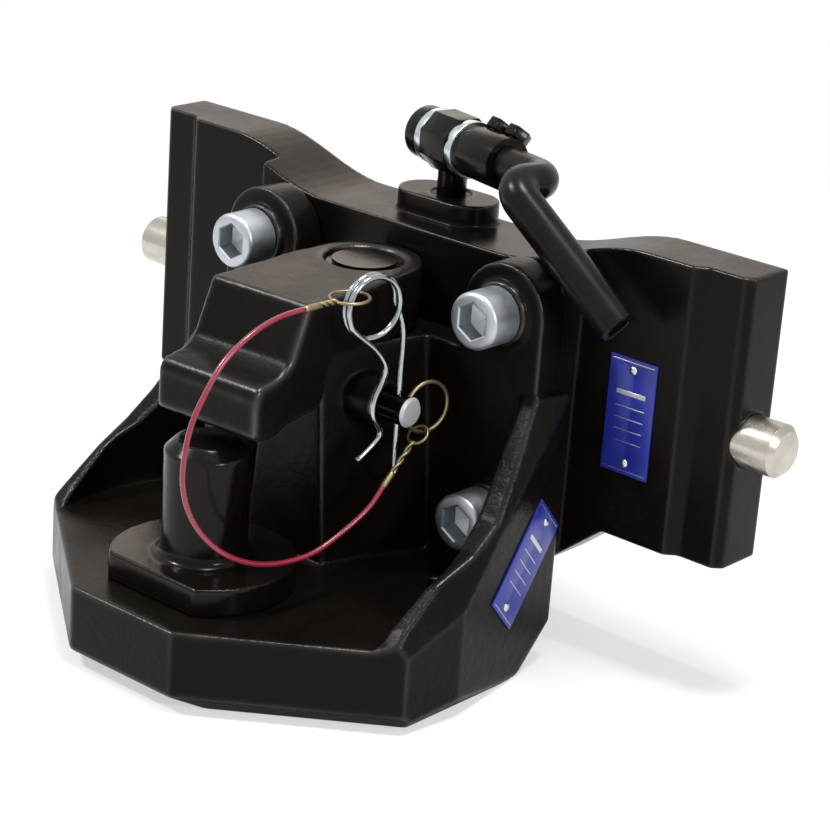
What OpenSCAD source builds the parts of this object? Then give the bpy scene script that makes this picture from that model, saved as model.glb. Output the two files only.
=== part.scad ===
// Height-adjustable towing hook for a tractor hitch frame.
// A fixed upright coupling pin stands in a cast tray under a swinging keeper, and the casting is
// bolted to a sliding carriage that two spring-loaded locking pins hold in the frame's guide rails.
// Origin: middle of the carriage's back face, level with the locking pins.
// X runs to the right along the carriage, Y points back to the tractor, Z is up.

/* [Carriage] */
// Width over both guide edges
carriage_w = 410; // [380:1:440]
// Thickness of the guide edges
guide_t = 32; // [30:1:40]
// Width of each guide edge
guide_strip = 25; // [15:1:40]
// Height of the wing faces above the guide edges
wing_proud = 5; // [2:0.5:10]
// Height of the middle pad above the guide edges
pad_proud = 20; // [15:1:30]
// Width of the middle pad
pad_w = 212; // [204:1:240]
// Chamfer on the front corners of the guide edges
guide_chamfer = 4.5; // [1:0.5:8]
// Top of the wings
wing_top = 87; // [82:1:100]
// Top of the plate between the wings
dip_top = 69; // [66:1:80]
// Bottom of the wings
wing_bottom = -67; // [-80:1:-50]
// Bottom of the plate behind the casting
mid_bottom = -96; // [-110:1:-80]

/* [Locking pins] */
// Diameter of a locking pin
pin_d = 28; // [24:0.5:28]
// How far a locking pin stands out of the carriage
pin_out = 21; // [12:1:22]
// Diameter of the pin's inner stem
pin_tail_d = 16; // [12:0.5:16]
// Diameter of the follower peg
peg_d = 8; // [6:0.5:8]
// Wire of the locking spring
spring_wire = 3.5; // [2:0.25:4]
// Turns of the locking spring
spring_turns = 4; // [3:1:4]

/* [Pull rod and lever] */
// Diameter of the pull rod
rod_d = 16; // [12:0.5:18]
// Lift of the pull rod
rod_lift = 22; // [10:1:22]
// Thickness of the cam plate
cam_t = 8; // [5:0.5:10]
// Height of the lever axis
lever_z = 108; // [108:1:125]
// Turn of the lever axis from the carriage, seen from above
lever_turn = 14; // [0:1:20]
// Outer diameter of the rod eye
eye_d = 31; // [28:1:40]
// Thickness of the rod eye
eye_w = 22; // [16:1:26]
// Diameter of the lever's pivot end
pivot_d = 14; // [10:0.5:16]
// Diameter of the lever bar under the grip
bar_d = 12; // [8:0.5:13]
// Outer diameter of the rubber grip
grip_d = 20; // [16:0.5:22]
// Length of the clamp sleeve
sleeve_l = 30; // [26:1:36]
// Length of the end cap
cap_l = 13; // [10:1:24]

/* [Casting] */
// Thickness of the mounting flange
flange_t = 20; // [16:1:26]
// Radius of the lugs around the mounting screws
lug_r = 26; // [22:0.5:27]
// Distance between the screw rows, side to side
screw_span = 170; // [166:1:174]
// Height of the upper screws
screw_z_top = 46.5; // [44:0.5:50]
// Height of the lower screws
screw_z_low = -62.5; // [-66:0.5:-58]
// Thread of the mounting screws
screw_d = 20; // [16:1:20]
// Level of the tray floor
floor_z = -95; // [-100:1:-90]
// Thickness of the tray under its floor
tray_t = 44; // [38:1:50]
// Thickness of the tray's side walls
cheek_t = 15; // [10:1:20]
// Half width of the tray at its widest
tray_half = 133; // [129:1:138]
// Half width of the nose
nose_half = 36; // [30:1:44]
// Top of the column that carries the keeper
column_top = 22; // [18:1:26]

/* [Coupling pin] */
// Diameter of the coupling pin
piton_d = 44.5; // [40:0.5:46]
// Height of the coupling pin above its flange
piton_h = 62; // [56:1:64]
// Radius of the coupling pin's flange
piton_flange_r = 48; // [44:0.5:52]
// Thickness of the coupling pin's flange
piton_flange_t = 15; // [10:1:16]
// Diameter of the coupling pin's shank
shank_d = 36; // [30:1:40]

/* [Keeper] */
// Width of the keeper
keeper_w = 66; // [58:1:70]
// Turn of the keeper at rest
keeper_turn = 2.5; // [0:0.5:4]
// Thickness of the keeper over the column
keeper_t = 35; // [30:1:40]
// Diameter of the keeper stem in the column
stem_d = 44; // [42:0.5:46]
// Diameter of the keeper stem in the keeper
stem_top_d = 34; // [28:0.5:36]
// Diameter of the lock pin
lock_d = 16; // [14:0.5:18]
// Wire of the hairpin clip
clip_wire = 3.5; // [3:0.25:4.5]

/* [Fits] */
// Radial clearance of turning and sliding shafts
run_gap = 0.05; // [0.02:0.01:0.1]
// Free space between pieces that pass each other
air_gap = 0.5; // [0.3:0.1:1]

/* [Hidden] */
$fn = 64;
eps = 0.01;

// Carriage: depth levels, negative towards the front
guide_y = -guide_t;
wing_y = guide_y - wing_proud;
pad_y = guide_y - pad_proud;
half_w = carriage_w / 2;
wing_half = half_w - guide_strip;
step_run = wing_proud + 1;
pad_half = pad_w / 2;
pad_draft = 3;
pin_y = guide_y / 2;
dip_half = 60;
slope_half = 145;
low_half = pad_half - 8;
low_outer = pad_half + 28;
curve_steps = 12;

// Locking mechanism inside the plate
cover_t = 4;
cam_back = pin_y - pin_tail_d / 2 - 1;
cam_front = cam_back - cam_t;
cavity_front = cam_front - 1;
peg_x = 50;
slot_wall = 5;
cam_half = peg_x + peg_d / 2 + slot_wall;
cavity_half = cam_half + 2;
cam_low = -rod_lift - peg_d / 2 - slot_wall;
cam_high = pin_tail_d / 2 + 12;
cavity_low = cam_low - 4;
cavity_high = cam_high + rod_lift + 6;
seat_l = 12;
tail_end = 30;
shoulder_x = cavity_half + seat_l + 38;
hub_half = 12;
hub_low = 6;
dowel_up = 8;
dowel_d = 5;
hub_back = pin_y + rod_d / 2 + 2.5;
pin_tip = 3;
cover_rim = 14;
cover_half = cavity_half;
cover_low = cavity_low - cover_rim;
cover_high = cavity_high + cover_rim;
cover_screw_d = 6;
cover_screw_in = cover_rim / 2;
sink_h = 0.45 * cover_screw_d;

// Rod boss on top of the plate
boss_half = 22;
boss_top = dip_top + 12;
boss_y0 = wing_y + 2;
boss_y1 = -1;
bush_wall = 3;

// Casting: depth levels
flange_y = pad_y - flange_t;
collar_t = 4;
seat_y = flange_y - collar_t;
head_d = 1.5 * screw_d;
head_h = screw_d;
head_edge = 1.5;
socket_af = 0.85 * screw_d;
screw_grip = 42;
stem_y = pad_y - 31;
lock_y = stem_y - 26;
lock_z = -6;
piton_y = pad_y - 140;
nose_y = piton_y - 57;
corner_y = piton_y + 13;
widest_y = piton_y + 50;
cheek_over = 7;
rear_half = screw_span / 2 + lug_r + cheek_over;
corner_half = tray_half - 4;
nose_lean = -atan2(corner_half - nose_half, corner_y - nose_y);
tray_z = floor_z - tray_t;
crest_rear_z = 8;
crest_low_z = -58;
crest_corner_z = -86;
// Crest of the tray walls: depth in front of the pad and height, from the corner to the flange
crest = [[pad_y - corner_y - 2, crest_corner_z], [101, -68], [78, crest_low_z], [60, -45], [43, -23],
    [flange_t, crest_rear_z]];
foot_bevel = 9;
crest_bevel = 4;
column_front = lock_y - 24;
column_ridge = lock_y - 4;
column_foot_half = 47;
column_ridge_half = 34;
column_front_half = 32;
column_draft = 4.3;
lock_boss_r = lock_d / 2 + 4.5;
lock_boss_left = 34;
lock_boss_x = 44;
stem_bottom = lock_z - 38;
nut_r = 32;
nut_h = 20;
nut_pocket = 26;
drain_x = 80;
drain_run = 50;
drain_y = pad_y - drain_run;
drain_d = 10;

// Keeper
keeper_low = column_top + air_gap;
keeper_top = keeper_low + keeper_t;
keeper_half = keeper_w / 2;
keeper_hub_r = pad_y - stem_y - air_gap;
keeper_swell = 24;
hub_step = 6;
keeper_step_run = 64;
keeper_step_y = stem_y - keeper_step_run;
// Beak in side view: lengths ahead of the stem, the nose and the step, with heights above its low face
beak_top = [81, 2];
beak_front = [[93, 36], [100, 31]];
beak_tip = [[-2, 28], [1, 22], [1, 3], [-3, 0], [-12, -1], [-26, 4]];
beak_step = [[6, 7], [1, 12], [0, 20]];
beak_root = 3;
keeper_nose_y = piton_y - 8;
piton_top = floor_z + piton_flange_t + piton_h;
nose_low = piton_top + 9;
recess_r = stem_top_d / 2 + 4;
recess_t = 5;
ring_groove = 1.5;
key_w = 8;
key_t = 3.5;

// Lock pin, hairpin clip and ring
lock_head_d = lock_d + 6;
lock_head_t = 8;
lock_end_x = 61.5;
clip_x = 52;
clip_lean = 12;
clip_top_z = 52;
clip_coil_r = 15.5;
clip_coil_y = lock_y - 22;
clip_foot_z = lock_z - 36;
ring_x = 57.5;
ring_wire = 2.2;
ring_r = 13.5;
ring_turn = 10;

// Lever: corner points of the bar's middle line before it is turned
lever_c1 = [80, pin_y, lever_z];
lever_c2 = [84, pin_y - 27, lever_z + 2];
lever_run = [73, 18.5, -56];
lever_len = 94;
bend_r = 11;
washer_t = 5.5;
washer_d = 31;
cap_d = 29;
cap_edge = 3;
clamp_d = 8;
clamp_in = 7;
clamp_lean = 40;
grip_past = 22;

// Nameplates
tag_w = 29;
tag_h = 62;
tag_t = 1;
rivet_d = 4.5;
tag_wing_x = 145;
tag_side = [-86, -75];
tag_lean = 45;
side_turn = atan2(tray_half - rear_half, pad_y - widest_y);

// Lanyard: wire diameter and hand-picked route, clear of the tray, the keeper and the coupling pin
cable_d = 2.8;
cable_route = [
    [46.5, -177.4, 59], [46, -191, 58.5], [46, -205, 56], [46, -218, 51], [45, -230, 42.5], [44.5, -240, 30],
    [44, -248, 16], [44, -252, 1], [44.5, -253, -14], [45.5, -249, -29], [47, -241, -42], [49, -230, -53],
    [51, -217, -61], [53, -203, -66], [55, -188, -68], [57, -172, -67], [59, -156, -61],
    [62, -139, -50.6], [61.4, -126.5, -40.6]
];
upper_ferrule = [[46.5, -177, 59], [48, -156.5, 59.5]];
upper_loop = 10;
lower_ferrule = [[61.5, -127.5, -41.4], [60, -104.5, -22.9]];
lower_loop = 5.5;
ferrule_d = 4;
eye_wire = 2;

black = "#26262a";
zinc = "#b9bcc0";
steel = "#8d9094";
brass = "#b08a4a";
blue = "#2f45a8";
red = "#b8283c";
rubber = "#2c2a28";

// Outline in X and Z, drawn out along Y from y0 to y1
module along_y(y0, y1) {
    translate([0, y1, 0]) rotate([90, 0, 0]) linear_extrude(y1 - y0) children();
}

// Outline in Y and Z, drawn out along X from x0 to x1
module along_x(x0, x1) {
    translate([x0, 0, 0]) rotate([90, 0, 90]) linear_extrude(x1 - x0) children();
}

// Round bar along X, Y or Z, from a to b past the point given
module bar_x(a, b, d) {
    translate([a, 0, 0]) rotate([0, 90, 0]) cylinder(h = b - a, d = d);
}
module bar_y(a, b, d) {
    translate([0, b, 0]) rotate([90, 0, 0]) cylinder(h = b - a, d = d);
}
module bar_z(a, b, d) {
    translate([0, 0, a]) cylinder(h = b - a, d = d);
}

// Cylinder along X with a chamfered far end
module tipped_x(a, b, d, tip) {
    bar_x(a, b - tip, d);
    translate([b - tip, 0, 0]) rotate([0, 90, 0]) cylinder(h = tip, d1 = d, d2 = d - 2 * tip);
}

// Draws its children on the right and mirrored on the left
module both_sides() {
    children();
    mirror([1, 0, 0]) children();
}

// Everything beyond a point p along a direction that leans az sideways and el upwards from X
module beyond(p, az, el) {
    translate(p) rotate([0, -el, az]) translate([0, -300, -300]) cube([200, 600, 600]);
}

function unit(v) = v / norm(v);
function tangent(path, i) = let (n = len(path))
    unit(path[min(i + 1, n - 1)] - path[max(i - 1, 0)]);
function ring_points(p, t, r, sides, ref) = let (u = unit(cross(ref, t)), v = cross(t, u))
    [for (k = [0 : sides - 1]) p + r * (cos(360 * k / sides) * u + sin(360 * k / sides) * v)];

// Wire of radius r swept along a path that never runs along ref
module swept_wire(path, r, sides, ref) {
    n = len(path);
    points = [for (i = [0 : n - 1]) each ring_points(path[i], tangent(path, i), r, sides, ref)];
    walls = [for (i = [0 : n - 2]) for (k = [0 : sides - 1]) let (m = (k + 1) % sides)
        each [[i * sides + k, (i + 1) * sides + k, (i + 1) * sides + m],
              [i * sides + k, (i + 1) * sides + m, i * sides + m]]];
    first = [for (k = [0 : sides - 1]) k];
    last = [for (k = [sides - 1 : -1 : 0]) (n - 1) * sides + k];
    polyhedron(points, concat([first], walls, [last]));
}

// Straight round bar between two points
module bar_between(a, b, d) {
    v = b - a;
    translate(a) rotate([0, acos(v.z / norm(v)), atan2(v.y, v.x)]) cylinder(h = norm(v), d = d);
}

// Turns its children with the lever about the rod
module lever_turned() {
    translate([0, pin_y, 0]) rotate([0, 0, -lever_turn]) translate([0, -pin_y, 0]) children();
}

// Turns its children with the keeper about its stem
module keeper_turned() {
    translate([0, stem_y, 0]) rotate([0, 0, keeper_turn]) translate([0, -stem_y, 0]) children();
}

// Carriage: front outline, one S-curve from the dip up to each wing
function top_curve() = [for (i = [0 : curve_steps]) let (t = i / curve_steps)
    [dip_half + (slope_half - dip_half) * t,
     dip_top + (wing_top - dip_top) * (1 - cos(180 * t)) / 2]];
module carriage_outline() {
    right = concat([[half_w, wing_bottom], [half_w, wing_top]],
        [for (i = [curve_steps : -1 : 0]) top_curve()[i]]);
    left = [for (i = [len(right) - 1 : -1 : 0]) [-right[i].x, right[i].y]];
    polygon(concat(right, left, [[-low_outer, wing_bottom], [-low_half, mid_bottom],
        [low_half, mid_bottom], [low_outer, wing_bottom]]));
}

// Carriage: steps in the plate's thickness, seen from above
module carriage_plan() {
    half = [[half_w, guide_y + guide_chamfer], [half_w - guide_chamfer, guide_y],
        [wing_half, guide_y], [wing_half - step_run, wing_y], [pad_half + pad_draft, wing_y],
        [pad_half, pad_y]];
    left = [for (i = [len(half) - 1 : -1 : 0]) [-half[i].x, half[i].y]];
    polygon(concat([[half_w, 0]], half, left, [[-half_w, 0]]));
}

module rod_boss() {
    r = (boss_y1 - boss_y0) / 2;
    translate([0, 0, dip_top - 10]) linear_extrude(boss_top - dip_top + 10) {
        translate([-boss_half + r / 2, boss_y0]) square([2 * boss_half - r, 2 * r]);
        for (s = [-1, 1]) translate([s * (boss_half - r / 2), boss_y0 + r]) circle(r);
    }
}

module carriage_plate() {
    color(black) difference() {
        union() {
            intersection() {
                along_y(pad_y, 0) carriage_outline();
                translate([0, 0, mid_bottom]) linear_extrude(wing_top - mid_bottom) carriage_plan();
            }
            rod_boss();
        }
        // Cavity for the cam plate, closed from behind
        translate([-cavity_half, cavity_front, cavity_low])
            cube([2 * cavity_half, -cavity_front + eps, cavity_high - cavity_low]);
        translate([-cover_half, -cover_t, cover_low])
            cube([2 * cover_half, cover_t + eps, cover_high - cover_low]);
        cover_screw_places() bar_y(-cover_t - 14, 0, cover_screw_d);
        // Bores of the locking pins
        both_sides() translate([0, pin_y, 0]) bar_x(cavity_half - eps, half_w + eps, pin_d + 2 * run_gap);
        // Bore of the rod bush
        translate([0, pin_y, 0]) bar_z(cavity_high - eps, boss_top + eps, rod_d + 2 * (run_gap + bush_wall));
        // Threaded holes of the mounting screws
        screw_places() bar_y(pad_y - eps, pad_y + screw_grip, screw_d);
        tag_wing_place() rivet_places() bar_z(-4, eps, rivet_d - 1.5);
    }
}

module screw_places() {
    for (x = [-1, 1] * screw_span / 2) for (z = [screw_z_top, screw_z_low]) translate([x, 0, z]) children();
}

module cover_screw_places() {
    for (x = [-1, 1] * (cover_half - cover_screw_in))
        for (z = [cover_low + cover_screw_in, cover_high - cover_screw_in]) translate([x, 0, z]) children();
}

module rod_bush() {
    color(brass) translate([0, pin_y, 0]) difference() {
        bar_z(cavity_high, boss_top - 1, rod_d + 2 * (run_gap + bush_wall));
        bar_z(cavity_high - 1, boss_top, rod_d + 2 * run_gap);
    }
}

module spring_seats() {
    color(steel) both_sides() translate([0, pin_y, 0]) difference() {
        bar_x(cavity_half, cavity_half + seat_l, pin_d + 2 * run_gap);
        bar_x(cavity_half - 1, cavity_half + seat_l + 1, pin_tail_d + 2 * run_gap);
    }
}

module back_cover() {
    color(zinc) difference() {
        translate([-cover_half, -cover_t, cover_low])
            cube([2 * cover_half, cover_t, cover_high - cover_low]);
        cover_screw_places() {
            bar_y(-cover_t - 1, 1, cover_screw_d);
            screw_sink();
        }
    }
}

// Countersunk head in the cover's outer face
module screw_sink() {
    rotate([90, 0, 0]) cylinder(h = sink_h, d1 = cover_screw_d + 2 * sink_h, d2 = cover_screw_d);
}

module cover_screws() {
    color(zinc) cover_screw_places() difference() {
        union() {
            bar_y(-cover_t - 12, 0, cover_screw_d);
            screw_sink();
        }
        translate([0, eps, 0]) rotate([90, 0, 0]) cylinder(h = 2, d = 0.6 * cover_screw_d, $fn = 6);
    }
}

// Casting: outline of the flange, open in the middle for the keeper
module flange_outline() {
    x = screw_span / 2;
    intersection() {
        union() {
            for (s = [-1, 1]) translate([s * x, screw_z_top]) circle(lug_r);
            for (s = [-1, 1]) translate([s * x - lug_r, floor_z]) square([2 * lug_r, screw_z_top - floor_z]);
            translate([-x, tray_z + foot_bevel]) square([2 * x, column_top - tray_z - foot_bevel]);
        }
        translate([-tray_half, tray_z]) square([2 * tray_half, screw_z_top + lug_r - tray_z]);
    }
}

// Casting: tray seen from above
module tray_plan() {
    half = [[rear_half, pad_y], [tray_half, widest_y], [corner_half, corner_y], [nose_half, nose_y]];
    polygon(concat(half, [for (i = [len(half) - 1 : -1 : 0]) [-half[i].x, half[i].y]]));
}

// Casting: inside of the tray seen from above, open at the front
module tray_inside() {
    half = [[rear_half - cheek_t, flange_y], [tray_half - cheek_t, widest_y],
        [corner_half - cheek_t, corner_y - 12], [tray_half, corner_y - 14], [tray_half, nose_y - 1]];
    polygon(concat(half, [for (i = [len(half) - 1 : -1 : 0]) [-half[i].x, half[i].y]]));
}

// Casting: side view of the tray with the sloping crest of its walls
module tray_side() {
    foot = [[pad_y, tray_z + foot_bevel], [pad_y - foot_bevel, tray_z], [nose_y + 2 * foot_bevel, tray_z],
        [nose_y, tray_z + foot_bevel], [nose_y, floor_z], [corner_y - 10, floor_z],
        [corner_y - 4, crest_corner_z - 6]];
    polygon(concat(foot, [for (c = crest) [pad_y - c.x, c.y]], [[pad_y, crest_rear_z]]));
}

// Casting: column under the keeper, narrowing upwards
module column() {
    intersection() {
        translate([0, 0, floor_z - 1]) linear_extrude(column_top - floor_z + 1)
            polygon([[column_foot_half, flange_y + 1], [column_foot_half, flange_y],
                [column_ridge_half, column_ridge], [column_front_half, column_front],
                [-column_front_half, column_front], [-column_ridge_half, column_ridge],
                [-column_foot_half, flange_y], [-column_foot_half, flange_y + 1]]);
        difference() {
            translate([-column_foot_half, column_front, floor_z - 1])
                cube([2 * column_foot_half, flange_y + 1 - column_front, column_top - floor_z + 1]);
            both_sides() beyond([column_ridge_half, column_ridge, floor_z],
                -atan2(column_foot_half - column_ridge_half, flange_y - column_ridge), column_draft);
        }
    }
    translate([0, lock_y, lock_z]) bar_x(-lock_boss_left, lock_boss_x, 2 * lock_boss_r);
}

module hook_body() {
    color(black) difference() {
        union() {
            along_y(flange_y, pad_y) flange_outline();
            screw_places() bar_y(seat_y, flange_y, head_d + 4);
            difference() {
                intersection() {
                    translate([0, 0, tray_z]) linear_extrude(crest_rear_z - tray_z) tray_plan();
                    along_x(-tray_half - 1, tray_half + 1) tray_side();
                }
                translate([0, 0, floor_z]) linear_extrude(crest_rear_z - floor_z + 1) tray_inside();
                // Bevel along the outer edge of each wall
                both_sides() beyond([tray_half - crest_bevel, pad_y - 68, crest_low_z - 1], -18, 25);
                // Bevels along the foot of each wall, of the slanting front and at the rear corner
                both_sides() {
                    beyond([tray_half, widest_y, tray_z + foot_bevel], 0, -45);
                    beyond([nose_half, nose_y, tray_z + foot_bevel], nose_lean, -45);
                    beyond([rear_half + 4, pad_y - 12, floor_z - 28], 34, -32);
                }
            }
            column();
        }
        screw_places() bar_y(seat_y - 1, pad_y + 1, screw_d + 2 * run_gap);
        // Bore of the keeper stem and of the lock pin that crosses it
        translate([0, stem_y, 0]) bar_z(stem_bottom - 2, column_top + 1, stem_d + 2 * run_gap);
        translate([0, lock_y, lock_z]) bar_x(-lock_boss_left - 1, lock_boss_x + 1, lock_d + 2 * run_gap);
        // Seat of the coupling pin with a pocket for its nut
        translate([0, piton_y, 0]) {
            bar_z(tray_z - 1, floor_z + 1, shank_d + 2 * run_gap);
            bar_z(tray_z - 1, tray_z + nut_pocket, 2 * nut_r + 8);
        }
        for (s = [-1, 1]) translate([s * drain_x, drain_y, 0]) bar_z(tray_z - 1, floor_z + 1, drain_d);
        tag_side_place() rivet_places() bar_z(-4, eps, rivet_d - 1.5);
    }
}

module hook_screws() {
    color(zinc) screw_places() difference() {
        union() {
            bar_y(seat_y, pad_y + screw_grip - 4, screw_d);
            translate([0, seat_y, 0]) rotate([0, 0, -90]) tipped_x(0, head_h, head_d, head_edge);
        }
        translate([0, seat_y - head_h / 2, 0]) rotate([90, 30, 0])
            cylinder(h = head_h, d = socket_af / cos(30), $fn = 6);
    }
}

module coupling_pin() {
    chamfer = 6;
    fillet = 5;
    low = floor_z + piton_flange_t;
    color(black) translate([0, piton_y, 0]) {
        difference() {
            bar_z(floor_z, low, 2 * piton_flange_r);
            translate([-60, -60 - piton_flange_r * 0.77, floor_z - 1]) cube([120, 60, piton_flange_t + 2]);
        }
        bar_z(low, piton_top - chamfer, piton_d);
        translate([0, 0, piton_top - chamfer])
            cylinder(h = chamfer, d1 = piton_d, d2 = piton_d - 2 * chamfer);
        rotate_extrude() difference() {
            square_at(piton_d / 2 - 1, low, fillet + 1, fillet);
            translate([piton_d / 2 + fillet, low + fillet]) circle(fillet);
        }
        bar_z(tray_z + 3, floor_z, shank_d);
    }
}

module square_at(x, y, w, h) {
    translate([x, y]) square([w, h]);
}

module coupling_washer() {
    color(zinc) translate([0, piton_y, 0]) difference() {
        bar_z(tray_z + nut_pocket - 3, tray_z + nut_pocket, 2 * nut_r);
        bar_z(tray_z, tray_z + nut_pocket + 1, shank_d);
    }
}

module coupling_nut() {
    top = tray_z + nut_pocket - 3;
    color(zinc) translate([0, piton_y, 0]) difference() {
        translate([0, 0, top - nut_h]) cylinder(h = nut_h, r = nut_r, $fn = 6);
        bar_z(tray_z, top + 1, shank_d);
    }
}

// Nameplate frames: local X across, local Y along the plate, local Z out of the surface
module tag_wing_place() {
    translate([tag_wing_x, wing_y, 0]) rotate([90, 0, 0]) children();
}
module tag_side_place() {
    translate([rear_half, pad_y, 0]) rotate([0, 0, side_turn])
        translate([0, tag_side.x - pad_y, tag_side.y]) rotate([0, 90, 0]) rotate([0, 0, tag_lean]) children();
}
module rivet_places() {
    for (s = [-1, 1]) translate([0, s * (tag_h / 2 - 6), 0]) children();
}
module tag() {
    difference() {
        translate([-tag_w / 2, -tag_h / 2, 0]) cube([tag_w, tag_h, tag_t]);
        rivet_places() bar_z(-1, tag_t + 1, rivet_d - 1.5);
    }
}

module nameplate_carriage() {
    color(blue) tag_wing_place() tag();
}

module nameplate_body() {
    color(blue) tag_side_place() tag();
}

module rivet() {
    bar_z(-3, tag_t, rivet_d - 1.5);
    bar_z(tag_t, tag_t + 1.2, rivet_d);
}

module nameplate_rivets() {
    color(zinc) {
        tag_wing_place() rivet_places() rivet();
        tag_side_place() rivet_places() rivet();
    }
}

// Locking pin on the right: outer bolt, inner stem and a hole for the follower peg
module locking_pin() {
    difference() {
        union() {
            tipped_x(shoulder_x, half_w + pin_out, pin_d, pin_tip);
            bar_x(tail_end, shoulder_x + 1, pin_tail_d);
        }
        translate([peg_x, 0, 0]) bar_y(-pin_tail_d, pin_tail_d, peg_d);
    }
}

module locking_pin_right() {
    color(zinc) translate([0, pin_y, 0]) locking_pin();
}
module locking_pin_left() {
    color(zinc) mirror([1, 0, 0]) translate([0, pin_y, 0]) locking_pin();
}

module follower_peg() {
    translate([peg_x, 0, 0]) bar_y(cam_front, pin_y + pin_tail_d / 2, peg_d);
}
module follower_peg_right() {
    color(steel) follower_peg();
}
module follower_peg_left() {
    color(steel) mirror([1, 0, 0]) follower_peg();
}

// Locking spring: a helix around the pin's stem, between its seat and the pin's shoulder
spring_r = (pin_tail_d + pin_d) / 4;
spring_x0 = cavity_half + seat_l + spring_wire / 2 + 0.3;
spring_x1 = shoulder_x - spring_wire / 2 - 0.3;
spring_rings = 16;
function spring_path() = [for (i = [0 : spring_turns * spring_rings]) let (a = 360 * i / spring_rings)
    [spring_x0 + (spring_x1 - spring_x0) * i / (spring_turns * spring_rings),
     pin_y + spring_r * cos(a), spring_r * sin(a)]];
module locking_spring() {
    swept_wire(spring_path(), spring_wire / 2, 8, [1, 0, 0]);
}
module locking_spring_right() {
    color(steel) locking_spring();
}
module locking_spring_left() {
    color(steel) mirror([1, 0, 0]) locking_spring();
}

module pull_rod() {
    color(black) difference() {
        union() {
            translate([0, pin_y, 0]) bar_z(hub_low + 2, lever_z - eye_d / 4, rod_d);
            lever_turned() translate([-eye_w / 2, pin_y, lever_z]) rotate([0, 90, 0]) rotate([0, 0, 22.5])
                cylinder(h = eye_w, d = eye_d / cos(22.5), $fn = 8);
        }
        lever_turned() translate([0, pin_y, lever_z]) bar_x(-eye_w, eye_w, pivot_d + 2 * run_gap);
        translate([0, pin_y, hub_low + dowel_up]) bar_x(-rod_d, rod_d, dowel_d);
    }
}

// Cam plate: two slots at 45 degrees turn the rod's lift into the same travel of each pin
module cam_plate() {
    color(steel) difference() {
        union() {
            translate([-cam_half, cam_front, cam_low]) cube([2 * cam_half, cam_t, cam_high - cam_low]);
            translate([-hub_half, cam_back - 1, hub_low])
                cube([2 * hub_half, hub_back - cam_back + 1, cam_high - hub_low]);
        }
        both_sides() cam_slot();
        translate([0, pin_y, 0]) bar_z(hub_low + 2, cam_high + 1, rod_d);
        translate([0, pin_y, hub_low + dowel_up]) bar_x(-hub_half - 1, hub_half + 1, dowel_d);
    }
}

module cam_slot() {
    w = peg_d + 4 * run_gap;
    run = rod_lift * sqrt(2);
    translate([peg_x, cam_back + 1, 0]) rotate([90, 0, 0]) linear_extrude(cam_t + 2)
        rotate(225) translate([-w / 2, -w / 2]) square([run + w, w]);
}

module cam_dowel() {
    color(zinc) translate([0, pin_y, hub_low + dowel_up]) bar_x(-hub_half, hub_half, dowel_d);
}

// Lever: directions and bends of the bar
lever_d1 = unit(lever_c2 - lever_c1);
lever_d2 = unit(lever_run);
lever_end = lever_c2 + lever_len * lever_d2;
turn1 = acos([1, 0, 0] * lever_d1);
turn2 = acos(lever_d1 * lever_d2);
cut1 = bend_r * tan(turn1 / 2);
cut2 = bend_r * tan(turn2 / 2);
sleeve_x0 = eye_w / 2 + run_gap + washer_t;
sleeve_x1 = sleeve_x0 + sleeve_l;
bar_x0 = -eye_w / 2 - run_gap - washer_t - cap_l + 4;

// Middle line of the lever: straight runs joined by arcs of one bend radius
bend_steps = 8;
function bend_points(corner, a, b, turn, cut) = let (u = unit(cross(cross(a, b), a)))
    [for (i = [0 : bend_steps]) let (t = turn * i / bend_steps)
        corner - cut * a + bend_r * (sin(t) * a + (1 - cos(t)) * u)];
function lever_path(x0, end) = concat([[x0, pin_y, lever_z]],
    bend_points(lever_c1, [1, 0, 0], lever_d1, turn1, cut1),
    bend_points(lever_c2, lever_d1, lever_d2, turn2, cut2), [end]);
lever_ref = [0, -0.25, 1];
lever_sides = 24;

module lever_bar() {
    color(black) lever_turned() {
        translate([0, pin_y, lever_z]) bar_x(bar_x0, sleeve_x1, pivot_d);
        swept_wire(lever_path(sleeve_x1 - 1, lever_end - grip_past * lever_d2), bar_d / 2,
            lever_sides, lever_ref);
    }
}

module lever_grip() {
    color(rubber) lever_turned() difference() {
        swept_wire(lever_path(sleeve_x1, lever_end), grip_d / 2, lever_sides, lever_ref);
        swept_wire(lever_path(sleeve_x1 - 1, lever_end + lever_d2), bar_d / 2, lever_sides, lever_ref);
    }
}

module lever_sleeve() {
    color(black) lever_turned() translate([0, pin_y, lever_z]) difference() {
        bar_x(sleeve_x0, sleeve_x1, 2 * pivot_d);
        bar_x(sleeve_x0 - 1, sleeve_x1 + 1, pivot_d);
        clamp_places() bar_z(pivot_d / 2 - 1, 2 * pivot_d, clamp_d);
    }
}

module clamp_places() {
    for (x = [sleeve_x0 + clamp_in, sleeve_x1 - clamp_in])
        translate([x, 0, 0]) rotate([-clamp_lean, 0, 0]) children();
}

module clamp_bolts() {
    color(black) lever_turned() translate([0, pin_y, lever_z]) clamp_places() {
        bar_z(pivot_d / 2, pivot_d, clamp_d);
        translate([0, 0, pivot_d]) cylinder(h = 0.75 * clamp_d, d = 1.75 * clamp_d, $fn = 6);
    }
}

module lever_cap() {
    x1 = -eye_w / 2 - run_gap - washer_t;
    color(rubber) lever_turned() translate([0, pin_y, lever_z]) difference() {
        mirror([1, 0, 0]) tipped_x(-x1, cap_l - x1, cap_d, cap_edge);
        bar_x(bar_x0, x1 + 1, pivot_d);
    }
}

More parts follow.
